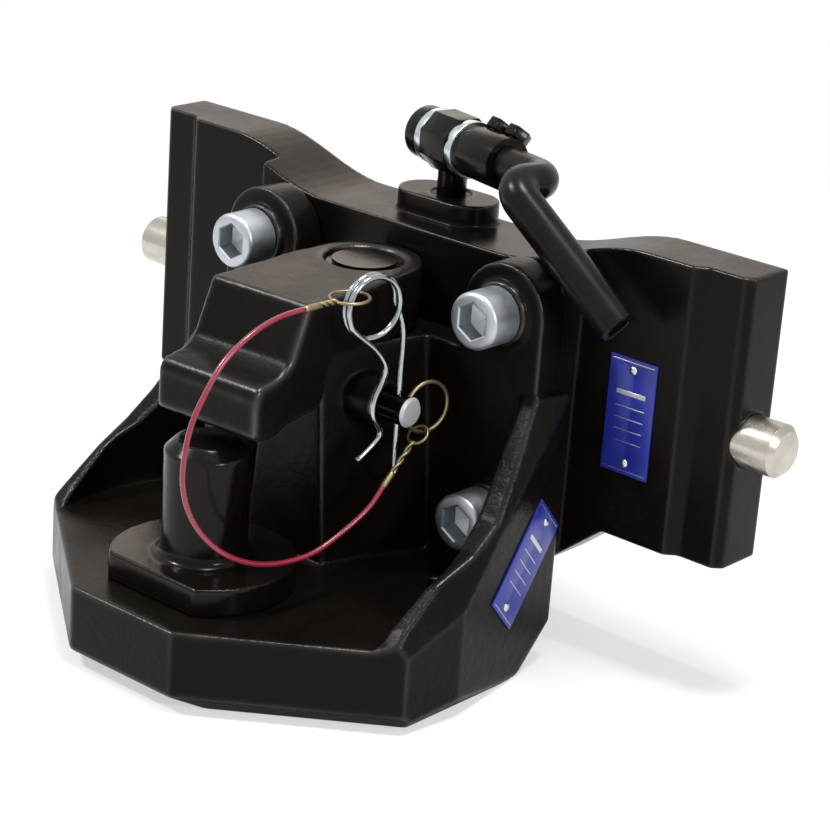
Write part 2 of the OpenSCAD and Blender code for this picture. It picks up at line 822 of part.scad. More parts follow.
module lever_washers() {
    x0 = eye_w / 2 + run_gap;
    color(zinc) lever_turned() translate([0, pin_y, lever_z]) difference() {
        union() {
            bar_x(-x0 - washer_t, -x0, washer_d);
            bar_x(x0, x0 + washer_t, washer_d);
        }
        bar_x(-x0 - washer_t - 1, x0 + washer_t + 1, pivot_d);
    }
}

// Keeper: side view, with the beak that reaches down over the coupling pin
module keeper_side() {
    polygon(concat([[stem_y + keeper_half, keeper_low], [stem_y + keeper_half, keeper_top],
        [stem_y - beak_top.x, keeper_top - beak_top.y]],
        [for (p = beak_front) [stem_y - p.x, nose_low + p.y]],
        [for (p = beak_tip) [keeper_nose_y - p.x, nose_low + p.y]],
        [for (p = beak_step) [keeper_step_y - p.x, nose_low + p.y]],
        [[keeper_step_y + beak_root, keeper_low]]));
}

// Keeper: plan, round behind the stem and a little wider ahead of it
module keeper_plan() {
    back = [for (a = [0 : hub_step : 180]) [keeper_hub_r * cos(a), stem_y + keeper_hub_r * sin(a)]];
    polygon(concat(back, [[-keeper_half, stem_y - keeper_swell], [-keeper_half, keeper_nose_y - 2],
        [keeper_half, keeper_nose_y - 2], [keeper_half, stem_y - keeper_swell]]));
}

module keeper() {
    color(black) keeper_turned() difference() {
        intersection() {
            along_x(-keeper_half, keeper_half) keeper_side();
            translate([0, 0, nose_low - 2]) linear_extrude(keeper_top - nose_low + 3) keeper_plan();
        }
        translate([0, stem_y, 0]) {
            bar_z(keeper_low - 1, keeper_top + 1, stem_top_d);
            bar_z(keeper_top - recess_t, keeper_top + 1, 2 * recess_r);
        }
        keeper_key_block();
    }
}

module keeper_key_block() {
    translate([-key_w / 2, stem_y - stem_top_d / 2 - key_t, keeper_low])
        cube([key_w, 2 * key_t, keeper_t - recess_t - 3]);
}

module keeper_key() {
    color(steel) keeper_turned() keeper_key_block();
}

module keeper_stem() {
    low = lock_z - lock_d / 2 - air_gap;
    high = lock_z + lock_d / 2 + air_gap;
    neck = 2 * (stem_y - lock_y - lock_d / 2 - air_gap);
    top = keeper_top - 1.5;
    color(steel) keeper_turned() difference() {
        translate([0, stem_y, 0]) difference() {
            union() {
                bar_z(stem_bottom, low, stem_d);
                bar_z(low - 1, high + 1, neck);
                bar_z(high, keeper_low, stem_d);
                bar_z(keeper_low - 1, top, stem_top_d);
            }
            translate([0, 0, keeper_top - recess_t]) difference() {
                cylinder(h = ring_groove, d = stem_top_d + 2);
                translate([0, 0, -1]) cylinder(h = ring_groove + 2, d = stem_top_d - 3);
            }
        }
        keeper_key_block();
    }
}

module keeper_ring() {
    color(zinc) keeper_turned() translate([0, stem_y, keeper_top - recess_t]) difference() {
        cylinder(h = ring_groove, r = recess_r - 1);
        translate([0, 0, -1]) cylinder(h = ring_groove + 2, d = stem_top_d - 3);
        translate([-4, 0, -1]) cube([8, recess_r + 1, ring_groove + 2]);
    }
}

module lock_pin() {
    color(zinc) translate([0, lock_y, lock_z]) difference() {
        union() {
            bar_x(-lock_boss_left - air_gap - lock_head_t, -lock_boss_left - air_gap, lock_head_d);
            tipped_x(-lock_boss_left - air_gap - 1, lock_end_x, lock_d, 1.5);
        }
        translate([clip_x, 0, 0]) bar_z(-lock_d, lock_d, clip_wire + 4 * run_gap);
        ring_shape(ring_wire + 2 * air_gap);
    }
}

// Ring through the lock pin's cross hole, in the lock pin's own frame
module ring_shape(d) {
    translate([ring_x, 0, 0]) rotate([0, 0, -ring_turn]) translate([0, ring_r, 0])
        rotate([0, 90, 0]) rotate_extrude() translate([ring_r, 0]) circle(d = d);
}

// Hairpin clip: straight leg through the lock pin, two coils, and a waved leg that grips the pin
clip_reach = lock_d / 2 + clip_wire / 2 + air_gap;
clip_step = 20;
clip_pitch = clip_wire + 0.3;
function clip_coil() = [for (i = [0 : 29]) let (a = i * clip_step)
    [clip_x + clip_pitch * a / 360, clip_coil_y + clip_coil_r * cos(a), clip_top_z + clip_coil_r * sin(a)]];
function clip_path() = let (side = clip_x + clip_pitch) concat(
    [[clip_x, lock_y, clip_foot_z], [clip_x, lock_y, lock_z], [clip_x, lock_y, clip_top_z - 16],
     [clip_x, lock_y - 3, clip_top_z - 7]],
    clip_coil(),
    [[side + 2, lock_y - 21, clip_top_z - 22], [side + 2, lock_y - clip_reach - 4, lock_z + 26],
     [side + 1, lock_y - clip_reach - 5, lock_z + 18], [side + 1, lock_y - clip_reach - 9, lock_z + 9],
     [side + 1, lock_y - clip_reach - 9, lock_z], [side + 1, lock_y - clip_reach - 4, lock_z - 9],
     [side + 1, lock_y - clip_reach - 7, lock_z - 14], [side + 1, lock_y - clip_reach - 17, lock_z - 22]]);

module hairpin_clip() {
    color(zinc) translate([clip_x, lock_y, 0]) rotate([0, 0, -clip_lean]) translate([-clip_x, -lock_y, 0])
        swept_wire(clip_path(), clip_wire / 2, 8, [1, 0, 0]);
}

module pull_ring() {
    color(brass) translate([0, lock_y, lock_z]) ring_shape(ring_wire);
}

module lanyard_cable() {
    color(red) swept_wire(cable_route, cable_d / 2, 8, [1, 0, 0]);
}

// Crimped end of the lanyard: a ferrule and a wire eye that stands across the piece it holds
module lanyard_eye(ends, loop) {
    v = unit(ends[1] - ends[0]);
    w = unit([1, 0, 0] - v.x * v);
    centre = ends[1] + (loop - 1) * v;
    difference() {
        bar_between(ends[0], ends[1], ferrule_d);
        bar_between(ends[0] - v, ends[0] + 3 * v, cable_d);
    }
    swept_wire([for (t = [190 : 20 : 530]) centre + loop * (cos(t) * v + sin(t) * w)],
        eye_wire / 2, 8, cross(v, w));
}

module lanyard_upper_eye() {
    color(brass) lanyard_eye(upper_ferrule, upper_loop);
}

module lanyard_lower_eye() {
    color(brass) lanyard_eye(lower_ferrule, lower_loop);
}

carriage_plate();
rod_bush();
spring_seats();
back_cover();
cover_screws();
hook_body();
hook_screws();
coupling_pin();
coupling_nut();
coupling_washer();
nameplate_carriage();
nameplate_body();
nameplate_rivets();
locking_pin_left();
locking_pin_right();
follower_peg_left();
follower_peg_right();
locking_spring_left();
locking_spring_right();
pull_rod();
cam_plate();
cam_dowel();
lever_bar();
lever_grip();
lever_sleeve();
lever_cap();
lever_washers();
clamp_bolts();
keeper();
keeper_stem();
keeper_key();
keeper_ring();
lock_pin();
hairpin_clip();
pull_ring();
lanyard_cable();
lanyard_upper_eye();
lanyard_lower_eye();
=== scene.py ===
"""Dressed model of a tractor towing hook: castings, plated hardware, lever, clip and lanyard."""

import logging
import math
from dataclasses import dataclass
from enum import Enum
from typing import Any, Callable, Iterable, Sequence

import bmesh
import bpy
import numpy as np
from bmesh.types import BMesh, BMFace, BMVert
from bpy.types import Material, Mesh, Node, NodeSocket, NodeTree, Object
from mathutils import Matrix, Vector


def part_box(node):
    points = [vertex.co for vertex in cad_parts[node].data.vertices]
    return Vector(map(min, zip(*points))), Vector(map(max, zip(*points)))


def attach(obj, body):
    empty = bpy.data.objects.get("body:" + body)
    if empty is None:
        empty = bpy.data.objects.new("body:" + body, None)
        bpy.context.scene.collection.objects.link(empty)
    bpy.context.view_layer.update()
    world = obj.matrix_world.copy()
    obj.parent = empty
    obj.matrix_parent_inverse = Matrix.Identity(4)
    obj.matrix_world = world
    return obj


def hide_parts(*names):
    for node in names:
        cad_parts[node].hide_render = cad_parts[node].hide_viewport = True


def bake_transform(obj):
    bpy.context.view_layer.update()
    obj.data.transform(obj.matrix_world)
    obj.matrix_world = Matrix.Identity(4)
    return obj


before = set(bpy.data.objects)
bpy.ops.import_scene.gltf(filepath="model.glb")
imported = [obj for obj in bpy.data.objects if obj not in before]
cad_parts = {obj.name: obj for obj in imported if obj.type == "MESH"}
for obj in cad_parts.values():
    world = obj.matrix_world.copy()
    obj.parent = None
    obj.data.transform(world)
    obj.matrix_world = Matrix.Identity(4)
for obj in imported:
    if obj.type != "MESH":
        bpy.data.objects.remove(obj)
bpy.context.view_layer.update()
LOG = logging.getLogger("towing_hook")
MM = 0.001
SEAM_MM = 0.01  # height of a step that is a flat face to the eye
MIX_A, MIX_B, MIX_COLOUR = 6, 7, 2  # sockets of a Mix node that is set to colours
CLOUD_RANGE = {"From Min": 0.3, "From Max": 0.7}  # where most of a noise lies
WHITE = (1.0, 1.0, 1.0, 1.0)

Point = tuple[float, float, float]
Outline = Callable[[float], float]


class Body(Enum):
    """CAD bodies that the pieces ride on."""

    CARRIAGE = "carriage"
    ROD = "pull_rod"
    LEVER = "lever"
    PIN_LEFT = "locking_pin_left"
    PIN_RIGHT = "locking_pin_right"
    KEEPER = "keeper"
    LOCK = "lock_pin"
    CLIP = "hairpin"


class Slot(Enum):
    """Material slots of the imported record."""

    PAINT = "black_paint"
    ZINC = "zinc_plate"
    STEEL = "machined_steel"
    BRASS = "brass_ferrule"
    BLUE = "blue_plate"
    RIVET = "rivet_aluminium"
    RUBBER = "black_rubber"
    PLASTIC = "black_plastic"
    RED = "red_coating"


SIDES = (("left", Body.PIN_LEFT), ("right", Body.PIN_RIGHT))


def linear(code: str) -> tuple[float, float, float, float]:
    """Turn an sRGB hex colour into linear RGBA.

    Args:
        code: colour such as "#1a1a1c".

    Returns:
        Linear red, green, blue and an alpha of 1.
    """
    parts = [int(code[i : i + 2], 16) / 255 for i in (1, 3, 5)]
    return (*(c / 12.92 if c <= 0.04045 else ((c + 0.055) / 1.055) ** 2.4 for c in parts), 1.0)


def put(tree: NodeTree, kind: str, inputs: dict[Any, Any] | None = None, **props: Any) -> Node:
    """Add one node with its settings and links.

    Args:
        tree: node tree that takes the node.
        kind: node type.
        inputs: a value to set or a socket to link, by the input's name or index.
        props: attributes of the node.

    Returns:
        The new node.
    """
    node = tree.nodes.new(kind)
    for key, value in props.items():
        setattr(node, key, value)
    for key, value in (inputs or {}).items():
        if isinstance(value, NodeSocket):
            tree.links.new(value, node.inputs[key])
        else:
            node.inputs[key].default_value = value
    return node


def blank_material(name: str) -> tuple[Material, NodeTree]:
    """Make an empty node material.

    Args:
        name: material name.

    Returns:
        The material and its node tree.
    """
    material = bpy.data.materials.new(name)
    material.use_nodes = True
    material.node_tree.nodes.clear()
    return material, material.node_tree


@dataclass(frozen=True)
class CastPaint:
    """Gloss black enamel sprayed on sand-cast steel.

    The eye sees a near-black film whose lumps and fine orange peel break up every reflection, a
    dull bloom in patches, and a painted highlight: lighter paint colour along convex edges,
    where the specular level also rises.
    """

    name: str
    film: str = "#080605"
    bloom: str = "#100d0a"
    # colour of the painted highlight on convex edges
    edge_highlight: str = "#2b2723"
    cloud_mm: float = 45.0
    lump_mm: float = 7.0
    peel_mm: float = 1.3
    lump_depth: float = 0.35
    peel_depth: float = 0.42
    lump_height_mm: float = 0.8
    peel_height_mm: float = 0.25
    gloss: float = 0.2
    dull: float = 0.38
    level: float = 0.075
    edge_level: float = 1.0
    glint_full_at: float = 0.3

    def build(self) -> Material:
        """Make the node material.

        Returns:
            The new material.
        """
        material, tree = blank_material(self.name)
        place = put(tree, "ShaderNodeTexCoord").outputs["Object"]
        sizes = ((self.lump_mm, 3.0, 0.55), (self.peel_mm, 4.0, 0.6), (self.cloud_mm, 4.0, 0.6))
        lump, peel, cloud = (
            put(tree, "ShaderNodeTexNoise", {
                "Vector": place, "Scale": 1 / (mm * MM), "Detail": detail, "Roughness": rough,
            }).outputs[0]
            for mm, detail, rough in sizes
        )
        tint = put(tree, "ShaderNodeMix", {
            0: cloud, MIX_A: linear(self.film), MIX_B: linear(self.bloom),
        }, data_type="RGBA")
        # painted highlight: a lighter colour, and more specular level, on convex edges
        edge = put(tree, "ShaderNodeAttribute", attribute_name="convex_edge").outputs["Fac"]
        painted_light = put(tree, "ShaderNodeMath", {
            0: edge, 1: cloud,
        }, operation="MULTIPLY", use_clamp=True).outputs[0]
        colour = put(tree, "ShaderNodeMix", {
            0: painted_light, MIX_A: tint.outputs[MIX_COLOUR], MIX_B: linear(self.edge_highlight),
        }, data_type="RGBA")
        rough = put(tree, "ShaderNodeMapRange", {
            "Value": cloud, **CLOUD_RANGE, "To Min": self.gloss, "To Max": self.dull,
        })
        glint = put(tree, "ShaderNodeMapRange", {
            "Value": painted_light, "From Max": self.glint_full_at, "To Min": self.level,
            "To Max": self.edge_level,
        })
        coarse = put(tree, "ShaderNodeBump", {
            "Height": lump, "Strength": self.lump_depth, "Distance": self.lump_height_mm * MM,
        })
        fine = put(tree, "ShaderNodeBump", {
            "Height": peel, "Strength": self.peel_depth, "Distance": self.peel_height_mm * MM,
            "Normal": coarse.outputs[0],
        })
        shader = put(tree, "ShaderNodeBsdfPrincipled", {
            "Base Color": colour.outputs[MIX_COLOUR], "Roughness": rough.outputs[0],
            "Specular IOR Level": glint.outputs[0], "Normal": fine.outputs[0],
        })
        put(tree, "ShaderNodeOutputMaterial", {"Surface": shader.outputs[0]})
        return material


@dataclass(frozen=True)
class CloudedSkin:
    """A finish whose tint and gloss drift in clouds, with fine marks in relief."""

    name: str
    plain: str
    cloudy: str
    shine: float
    haze: float
    cloud_mm: float = 9.0
    cloud_grit: float = 0.6
    mark_mm: float = 0.6
    mark_depth: float = 0.08
    mark_height_mm: float = 0.1
    stretch: Point = (1.0, 1.0, 1.0)
    metallic: float = 1.0
    level: float = 0.5

    def build(self) -> Material:
        """Make the node material.

        Returns:
            The new material.
        """
        material, tree = blank_material(self.name)
        place = put(tree, "ShaderNodeTexCoord").outputs["Object"]
        drawn = put(tree, "ShaderNodeMapping", {"Vector": place, "Scale": self.stretch}).outputs[0]
        sizes = ((place, self.cloud_mm, 5.0, self.cloud_grit), (drawn, self.mark_mm, 3.0, 0.5))
        cloud, mark = (
            put(tree, "ShaderNodeTexNoise", {
                "Vector": spot, "Scale": 1 / (mm * MM), "Detail": detail, "Roughness": rough,
            }).outputs[0]
            for spot, mm, detail, rough in sizes
        )
        colour = put(tree, "ShaderNodeMix", {
            0: cloud, MIX_A: linear(self.plain), MIX_B: linear(self.cloudy),
        }, data_type="RGBA")
        rough = put(tree, "ShaderNodeMapRange", {
            "Value": cloud, **CLOUD_RANGE, "To Min": self.shine, "To Max": self.haze,
        })
        bump = put(tree, "ShaderNodeBump", {
            "Height": mark, "Strength": self.mark_depth, "Distance": self.mark_height_mm * MM,
        })
        shader = put(tree, "ShaderNodeBsdfPrincipled", {
            "Base Color": colour.outputs[MIX_COLOUR], "Roughness": rough.outputs[0],
            "Metallic": self.metallic, "Specular IOR Level": self.level, "Normal": bump.outputs[0],
        })
        put(tree, "ShaderNodeOutputMaterial", {"Surface": shader.outputs[0]})
        return material


@dataclass(frozen=True)
class PlatedMetal(CloudedSkin):
    """Bare, turned or plated metal.

    The eye sees a cool or warm metal with cloudy passivation and fine drawing or turning marks.
    """


@dataclass(frozen=True)
class Moulding(CloudedSkin):
    """Rubber hose, moulded plastic or lacquer.

    The eye sees a dark or coloured skin with fine grain and a faint bloom.
    """

    cloud_mm: float = 18.0
    cloud_grit: float = 0.5
    mark_height_mm: float = 0.15
    metallic: float = 0.0
    level: float = 0.14


@dataclass(frozen=True)
class CoatedRope:
    """Red PVC drawn over steel wire rope.

    The eye sees a glossy wine-red skin with the slanted lay of the strands showing through.
    The lay is drawn at 5 mm, coarser than the real rope, so that it shows.
    """

    name: str = "red_pvc_rope"
    skin: str = "#861a30"
    deep: str = "#6d1226"
    lay_mm: float = 5.0
    strands: int = 3
    strand_depth: float = 0.15
    strand_height_mm: float = 0.15

    def build(self) -> Material:
        """Make the node material.

        Returns:
            The new material.
        """
        material, tree = blank_material(self.name)
        along = put(tree, "ShaderNodeUVMap", uv_map="along").outputs[0]
        split = put(tree, "ShaderNodeSeparateXYZ", {0: along}).outputs
        turns = put(tree, "ShaderNodeMath", {
            0: split[0], 1: 1 / (self.lay_mm * MM), 2: split[1],
        }, operation="MULTIPLY_ADD")
        phase = put(tree, "ShaderNodeMath", {
            0: turns.outputs[0], 1: math.tau * self.strands,
        }, operation="MULTIPLY")
        strand = put(tree, "ShaderNodeMath", {0: phase.outputs[0]}, operation="SINE")
        height = put(tree, "ShaderNodeMapRange", {
            "Value": strand.outputs[0], "From Min": -1.0, "From Max": 1.0,
        }).outputs[0]
        colour = put(tree, "ShaderNodeMix", {
            0: height, MIX_A: linear(self.deep), MIX_B: linear(self.skin),
        }, data_type="RGBA")
        bump = put(tree, "ShaderNodeBump", {
            "Height": height, "Strength": self.strand_depth, "Distance": self.strand_height_mm * MM,
        })
        shader = put(tree, "ShaderNodeBsdfPrincipled", {
            "Base Color": colour.outputs[MIX_COLOUR], "Roughness": 0.27, "Coat Weight": 0.3,
            "Coat Roughness": 0.1, "Normal": bump.outputs[0],
        })
        put(tree, "ShaderNodeOutputMaterial", {"Surface": shader.outputs[0]})
        return material


class Finishes:
    """All finishes of the hook, each built once."""

    def __init__(self) -> None:
        """Build every material."""
        metal, skin = PlatedMetal, Moulding
        self.cast = CastPaint("cast_enamel").build()
        flat = {"lump_mm": 14, "lump_depth": 0.18, "peel_depth": 0.2, "dull": 0.34}
        self.plate = CastPaint("plate_enamel", **flat).build()
        fine = {"lump_mm": 5, "lump_depth": 0.1, "peel_depth": 0.12, "gloss": 0.14}
        self.forged = CastPaint("forged_enamel", **fine, dull=0.24, level=0.13).build()
        self.flake = metal("zinc_flake_coat", "#b9bdc1", "#9a9ea3", 0.36, 0.5, mark_mm=0.9).build()
        self.zinc = metal("bright_zinc_plate", "#c8ccce", "#aeb3b6", 0.16, 0.3).build()
        lathe = {"mark_depth": 0.14, "stretch": (6.0, 1.0, 1.0)}
        self.turned = metal("turned_zinc_pin", "#bdb9b0", "#9b958a", 0.22, 0.36, **lathe).build()
        # light zinc for the lock pin's end face: painted light on the end that faces the lamps
        painted_light = {"mark_depth": 0.1, "metallic": 0.3}
        self.lit_end_zinc = metal("painted_lit_end_zinc", "#b9bbbb", "#a3a5a4", 0.38, 0.5, **painted_light).build()
        # dark steel for the lock pin's barrel: a painted dark reflection of the surroundings
        self.dark_reflection_steel = metal("painted_dark_reflection_steel", "#34322f", "#24221f", 0.12, 0.24).build()
        self.spring = metal("spring_wire_zinc", "#a5a9ab", "#888c8e", 0.1, 0.22, cloud_mm=5).build()
        self.steel = metal("oiled_steel", "#8d8f92", "#6b6c6f", 0.26, 0.42).build()
        self.brass = metal("brassed_wire", "#978a6c", "#72674e", 0.36, 0.52, cloud_mm=4).build()
        self.bronze = metal("oil_blackened_bronze", "#2e251b", "#1d1813", 0.4, 0.55).build()
        self.alloy = metal("rivet_alloy", "#c9cbcc", "#a9abad", 0.25, 0.4, cloud_mm=3).build()
        hose, cap = {"mark_mm": 0.8, "mark_depth": 0.1}, {"mark_mm": 0.6, "mark_depth": 0.08}
        self.hose = skin("rubber_hose", "#080707", "#100e0d", 0.2, 0.38, **hose).build()
        self.cap = skin("moulded_cap", "#080808", "#0f0e0e", 0.18, 0.36, **cap).build()
        coat = {"mark_mm": 0.7, "mark_depth": 0.06, "level": 0.45}
        self.blue = skin("blue_lacquered_plate", "#161f74", "#222e92", 0.26, 0.44, **coat).build()
        self.rope = CoatedRope().build()


def new_piece(name: str, bm: BMesh, finish: Material, sharp: float | None = 35.0) -> Object:
    """Link a smooth-shaded piece of one finish into the scene.

    Args:
        name: piece name.
        bm: source in the row frame, freed here.
        finish: material of the piece.
        sharp: angle in degrees past which edges stay sharp, or None.

    Returns:
        The new object, at the origin.
    """
    mesh = bpy.data.meshes.new(name)
    bm.to_mesh(mesh)
    bm.free()
    mesh.shade_smooth()
    if sharp is not None:
        mesh.set_sharp_from_angle(angle=math.radians(sharp))
    mesh.materials.clear()
    mesh.materials.append(finish)
    obj = bpy.data.objects.new(name, mesh)
    bpy.context.scene.collection.objects.link(obj)
    return obj


def settle(obj: Object, body: Body, slot: Slot, *nodes: str) -> Object:
    """Give a piece its body and hide the CAD nodes that it stands for.

    Args:
        obj: finished piece.
        body: body that it rides on.
        slot: material slot of the record; not used.
        nodes: CAD nodes that it replaces.

    Returns:
        The same piece.
    """
    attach(obj, body.value)
    if nodes:
        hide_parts(*nodes)
    LOG.info("%s rides on %s, %d faces", obj.name, body.value, len(obj.data.polygons))
    return obj


def merged_copy(node: str) -> BMesh:
    """Copy a CAD node's triangles with their doubles merged.

    Args:
        node: CAD node name.

    Returns:
        The closed copy.
    """
    bm = bmesh.new()
    bm.from_mesh(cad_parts[node].data)
    bmesh.ops.remove_doubles(bm, verts=bm.verts, dist=1e-6)
    return bm


def evaluated(obj: Object) -> Mesh:
    """Bake an object's modifiers into a plain mesh and remove them.

    Args:
        obj: object with live modifiers.

    Returns:
        The evaluated mesh.
    """
    graph = bpy.context.evaluated_depsgraph_get()
    mesh = bpy.data.meshes.new_from_object(obj.evaluated_get(graph), depsgraph=graph)
    obj.modifiers.clear()
    return mesh


def eased(name: str, node: str, width_mm: float, finish: Material) -> Object:
    """Copy a CAD node as a piece with its sharp edges broken.

    Args:
        name: piece name.
        node: CAD node name.
        width_mm: width of the broken edge.
        finish: material of the piece.

    Returns:
        The new piece.
    """
    flat, corner, shading = 0.5, 32.0, 40.0
    bm = merged_copy(node)
    bmesh.ops.dissolve_limit(bm, angle_limit=math.radians(flat), verts=bm.verts, edges=bm.edges)
    limit = math.radians(corner)
    edges = [e for e in bm.edges if e.is_manifold and e.calc_face_angle(0.0) > limit]
    ease = {"segments": 2, "profile": 0.6, "affect": "EDGES", "clamp_overlap": True}
    bmesh.ops.bevel(bm, geom=edges, offset=width_mm * MM, **ease)
    return new_piece(name, bm, finish, shading)


def frames_along(points: Sequence[Vector]) -> list[tuple[Vector, Vector, Vector]]:
    """Carry a cross-section frame along a path without twist.

    Args:
        points: path points.

    Returns:
        Tangent, first and second normal at each point.
    """
    tangents = [
        (after - before).normalized()
        for before, after in zip([points[0], *points[:-1]], [*points[1:], points[-1]])
    ]
    first = tangents[0].orthogonal().normalized()
    rows = []
    for tangent in tangents:
        first = (first - tangent * first.dot(tangent)).normalized()
        rows.append((tangent, first, tangent.cross(first)))
    return rows


def hoop(centre: Vector, u: Vector, v: Vector, radius: float, sides: int) -> list[Vector]:
    """Give the points of a ring in the plane of two unit vectors."""
    turn = (math.tau * k / sides for k in range(sides))
    return [centre + radius * (u * math.cos(t) + v * math.sin(t)) for t in turn]


def wrap(bm: BMesh, rings: list[list[BMVert]], capped: bool = True) -> list[list[BMFace]]:
    """Join rings of points with belts of faces.

    Args:
        bm: mesh that holds the points.
        rings: rings of as many points each.
        capped: whether the ends are capped, or the last ring joins the first.

    Returns:
        The belts, with their faces in the order of the points.
    """
    belts = []
    for low, high in zip(rings, rings[1:] if capped else rings[1:] + rings[:1]):
        rungs = list(zip(low, high))
        pairs = zip(rungs, rungs[1:] + rungs[:1])
        belts.append([bm.faces.new((a, c, d, b)) for (a, b), (c, d) in pairs])
    if capped:
        bm.faces.new(rings[0][::-1])
        bm.faces.new(rings[-1])
    return belts


def tube(
    points: Sequence[Vector], radius: float, sides: int = 16, bm: BMesh | None = None
) -> BMesh:
    """Sweep a closed round wire along a path, with lengthwise texture coordinates.

    Args:
        points: path points in metres.
        radius: wire radius in metres.
        sides: faces around the wire.
        bm: mesh that takes the wire, or None for a new one.

    Returns:
        The mesh with the swept wire, whose ends are rounded.
    """
    bm = bmesh.new() if bm is None else bm
    layer = bm.loops.layers.uv.get("along") or bm.loops.layers.uv.new("along")
    rows = frames_along(points)
    reach = [0.0]
    for a, b in zip(points, points[1:]):
        reach.append(reach[-1] + (b - a).length)
    tip, tip_size, rim_size = 0.35, 0.6, 0.9
    stations = [
        (0, -tip, tip_size),
        (0, 0.0, rim_size),
        *((i, 0.0, 1.0) for i in range(1, len(points) - 1)),
        (-1, 0.0, rim_size),
        (-1, tip, tip_size),
    ]
    rings = []
    for i, push, size in stations:
        tangent, u, v = rows[i]
        spots = hoop(points[i] + tangent * push * radius, u, v, radius * size, sides)
        rings.append([bm.verts.new(p) for p in spots])
    places = [reach[i] for i, _, _ in stations]
    for j, belt in enumerate(wrap(bm, rings)):
        for k, face in enumerate(belt):
            marks = ((j, k), (j, k + 1), (j + 1, k + 1), (j + 1, k))
            for loop, (row, step) in zip(face.loops, marks):
                loop[layer].uv = (places[row], step / sides)
    bmesh.ops.recalc_face_normals(bm, faces=bm.faces)
    return bm


def smooth_path(points: Sequence[Sequence[float]], step_mm: float) -> list[Vector]:
    """Run a smooth curve through points given in millimetres.

    Args:
        points: corner points in millimetres.
        step_mm: spacing of the result.

    Returns:
        Closely spaced points in metres.
    """
    p = [Vector(q) * MM for q in points]
    p = [p[0] * 2 - p[1], *p, p[-1] * 2 - p[-2]]
    result = []
    for a, b, c, d in zip(p, p[1:], p[2:], p[3:]):
        count = max(1, round((c - b).length / (step_mm * MM)))
        slope, bend, twist = c - a, 2 * a - 5 * b + 4 * c - d, 3 * b - a - 3 * c + d
        for t in (i / count for i in range(count)):
            result.append(0.5 * (2 * b + slope * t + bend * t**2 + twist * t**3))
    return [*result, p[-2]]


def ring_stack(rings: Iterable[tuple[float, Outline]], sides: int) -> BMesh:
    """Stack outlines along +Z into a closed solid.

    Args:
        rings: height in millimetres and outline, from bottom to top.
        sides: points in each outline.

    Returns:
        The closed solid.
    """
    bm = bmesh.new()
    turn = [math.tau * k / sides for k in range(sides)]
    rows = [
        [bm.verts.new((r(t) * math.cos(t), r(t) * math.sin(t), z * MM)) for t in turn]
        for z, r in rings
    ]
    wrap(bm, rows)
    bmesh.ops.recalc_face_normals(bm, faces=bm.faces)
    return bm


def round_of(radius_mm: float) -> Outline:
    """Give a round outline of that radius."""
    return lambda t: radius_mm * MM


def hex_of(flats_mm: float) -> Outline:
    """Give a hexagon outline of that width across flats."""
    half = math.pi / 6
    return lambda t: flats_mm / 2 * MM / math.cos((t + half) % (2 * half) - half)


class ScatterTree:
    """Geometry Nodes tree that sets one fastener on each point of a mesh."""

    def __init__(self) -> None:
        """Build the tree once."""
        tree = bpy.data.node_groups.new("set_fasteners", "GeometryNodeTree")
        add = tree.interface.new_socket
        add("Places", in_out="INPUT", socket_type="NodeSocketGeometry")
        self.fastener, self.turn, self.finish = (
            add(name, in_out="INPUT", socket_type=f"NodeSocket{kind}").identifier
            for name, kind in (("Fastener", "Object"), ("Turn", "Vector"), ("Finish", "Material"))
        )
        add("Fasteners", in_out="OUTPUT", socket_type="NodeSocketGeometry")
        given = put(tree, "NodeGroupInput").outputs
        source = put(tree, "GeometryNodeObjectInfo", {"Object": given["Fastener"]})
        spin = put(tree, "FunctionNodeEulerToRotation", {0: given["Turn"]})
        points = put(tree, "GeometryNodeMeshToPoints", {"Mesh": given["Places"]})
        placed = put(tree, "GeometryNodeInstanceOnPoints", {
            "Points": points.outputs[0], "Instance": source.outputs["Geometry"],
            "Rotation": spin.outputs[0],
        })
        real = put(tree, "GeometryNodeRealizeInstances", {0: placed.outputs[0]})
        dressed = put(tree, "GeometryNodeSetMaterial", {
            "Geometry": real.outputs[0], "Material": given["Finish"],
        })
        put(tree, "NodeGroupOutput", {0: dressed.outputs[0]})
        self.tree = tree

    def scatter(
        self, name: str, fastener: BMesh, places: Sequence[Vector], turn: Sequence[float],
        finish: Material, sharp: float = 35.0,
    ) -> Object:
        """Set the fastener on every place and bake the result.

        Args:
            name: piece name.
            fastener: one fastener, along +Z.
            places: where each one sits, in metres.
            turn: Euler angles in radians that all share.
            finish: material of the fasteners.
            sharp: shading angle in degrees.

        Returns:
            A plain piece of all the fasteners.
        """
        one = new_piece(name + "_one", fastener, finish, sharp)
        dots = bpy.data.meshes.new(name + "_dots")
        dots.from_pydata([tuple(p) for p in places], [], [])
        host = bpy.data.objects.new(name, dots)
        bpy.context.scene.collection.objects.link(host)
        modifier = host.modifiers.new("set", "NODES")
        modifier.node_group = self.tree
        modifier[self.fastener] = one
        modifier[self.turn] = tuple(turn)
        modifier[self.finish] = finish
        host.data = evaluated(host)
        host.data.name = name
        host.data.materials.clear()
        host.data.materials.append(finish)
        bpy.data.objects.remove(one)
        return host


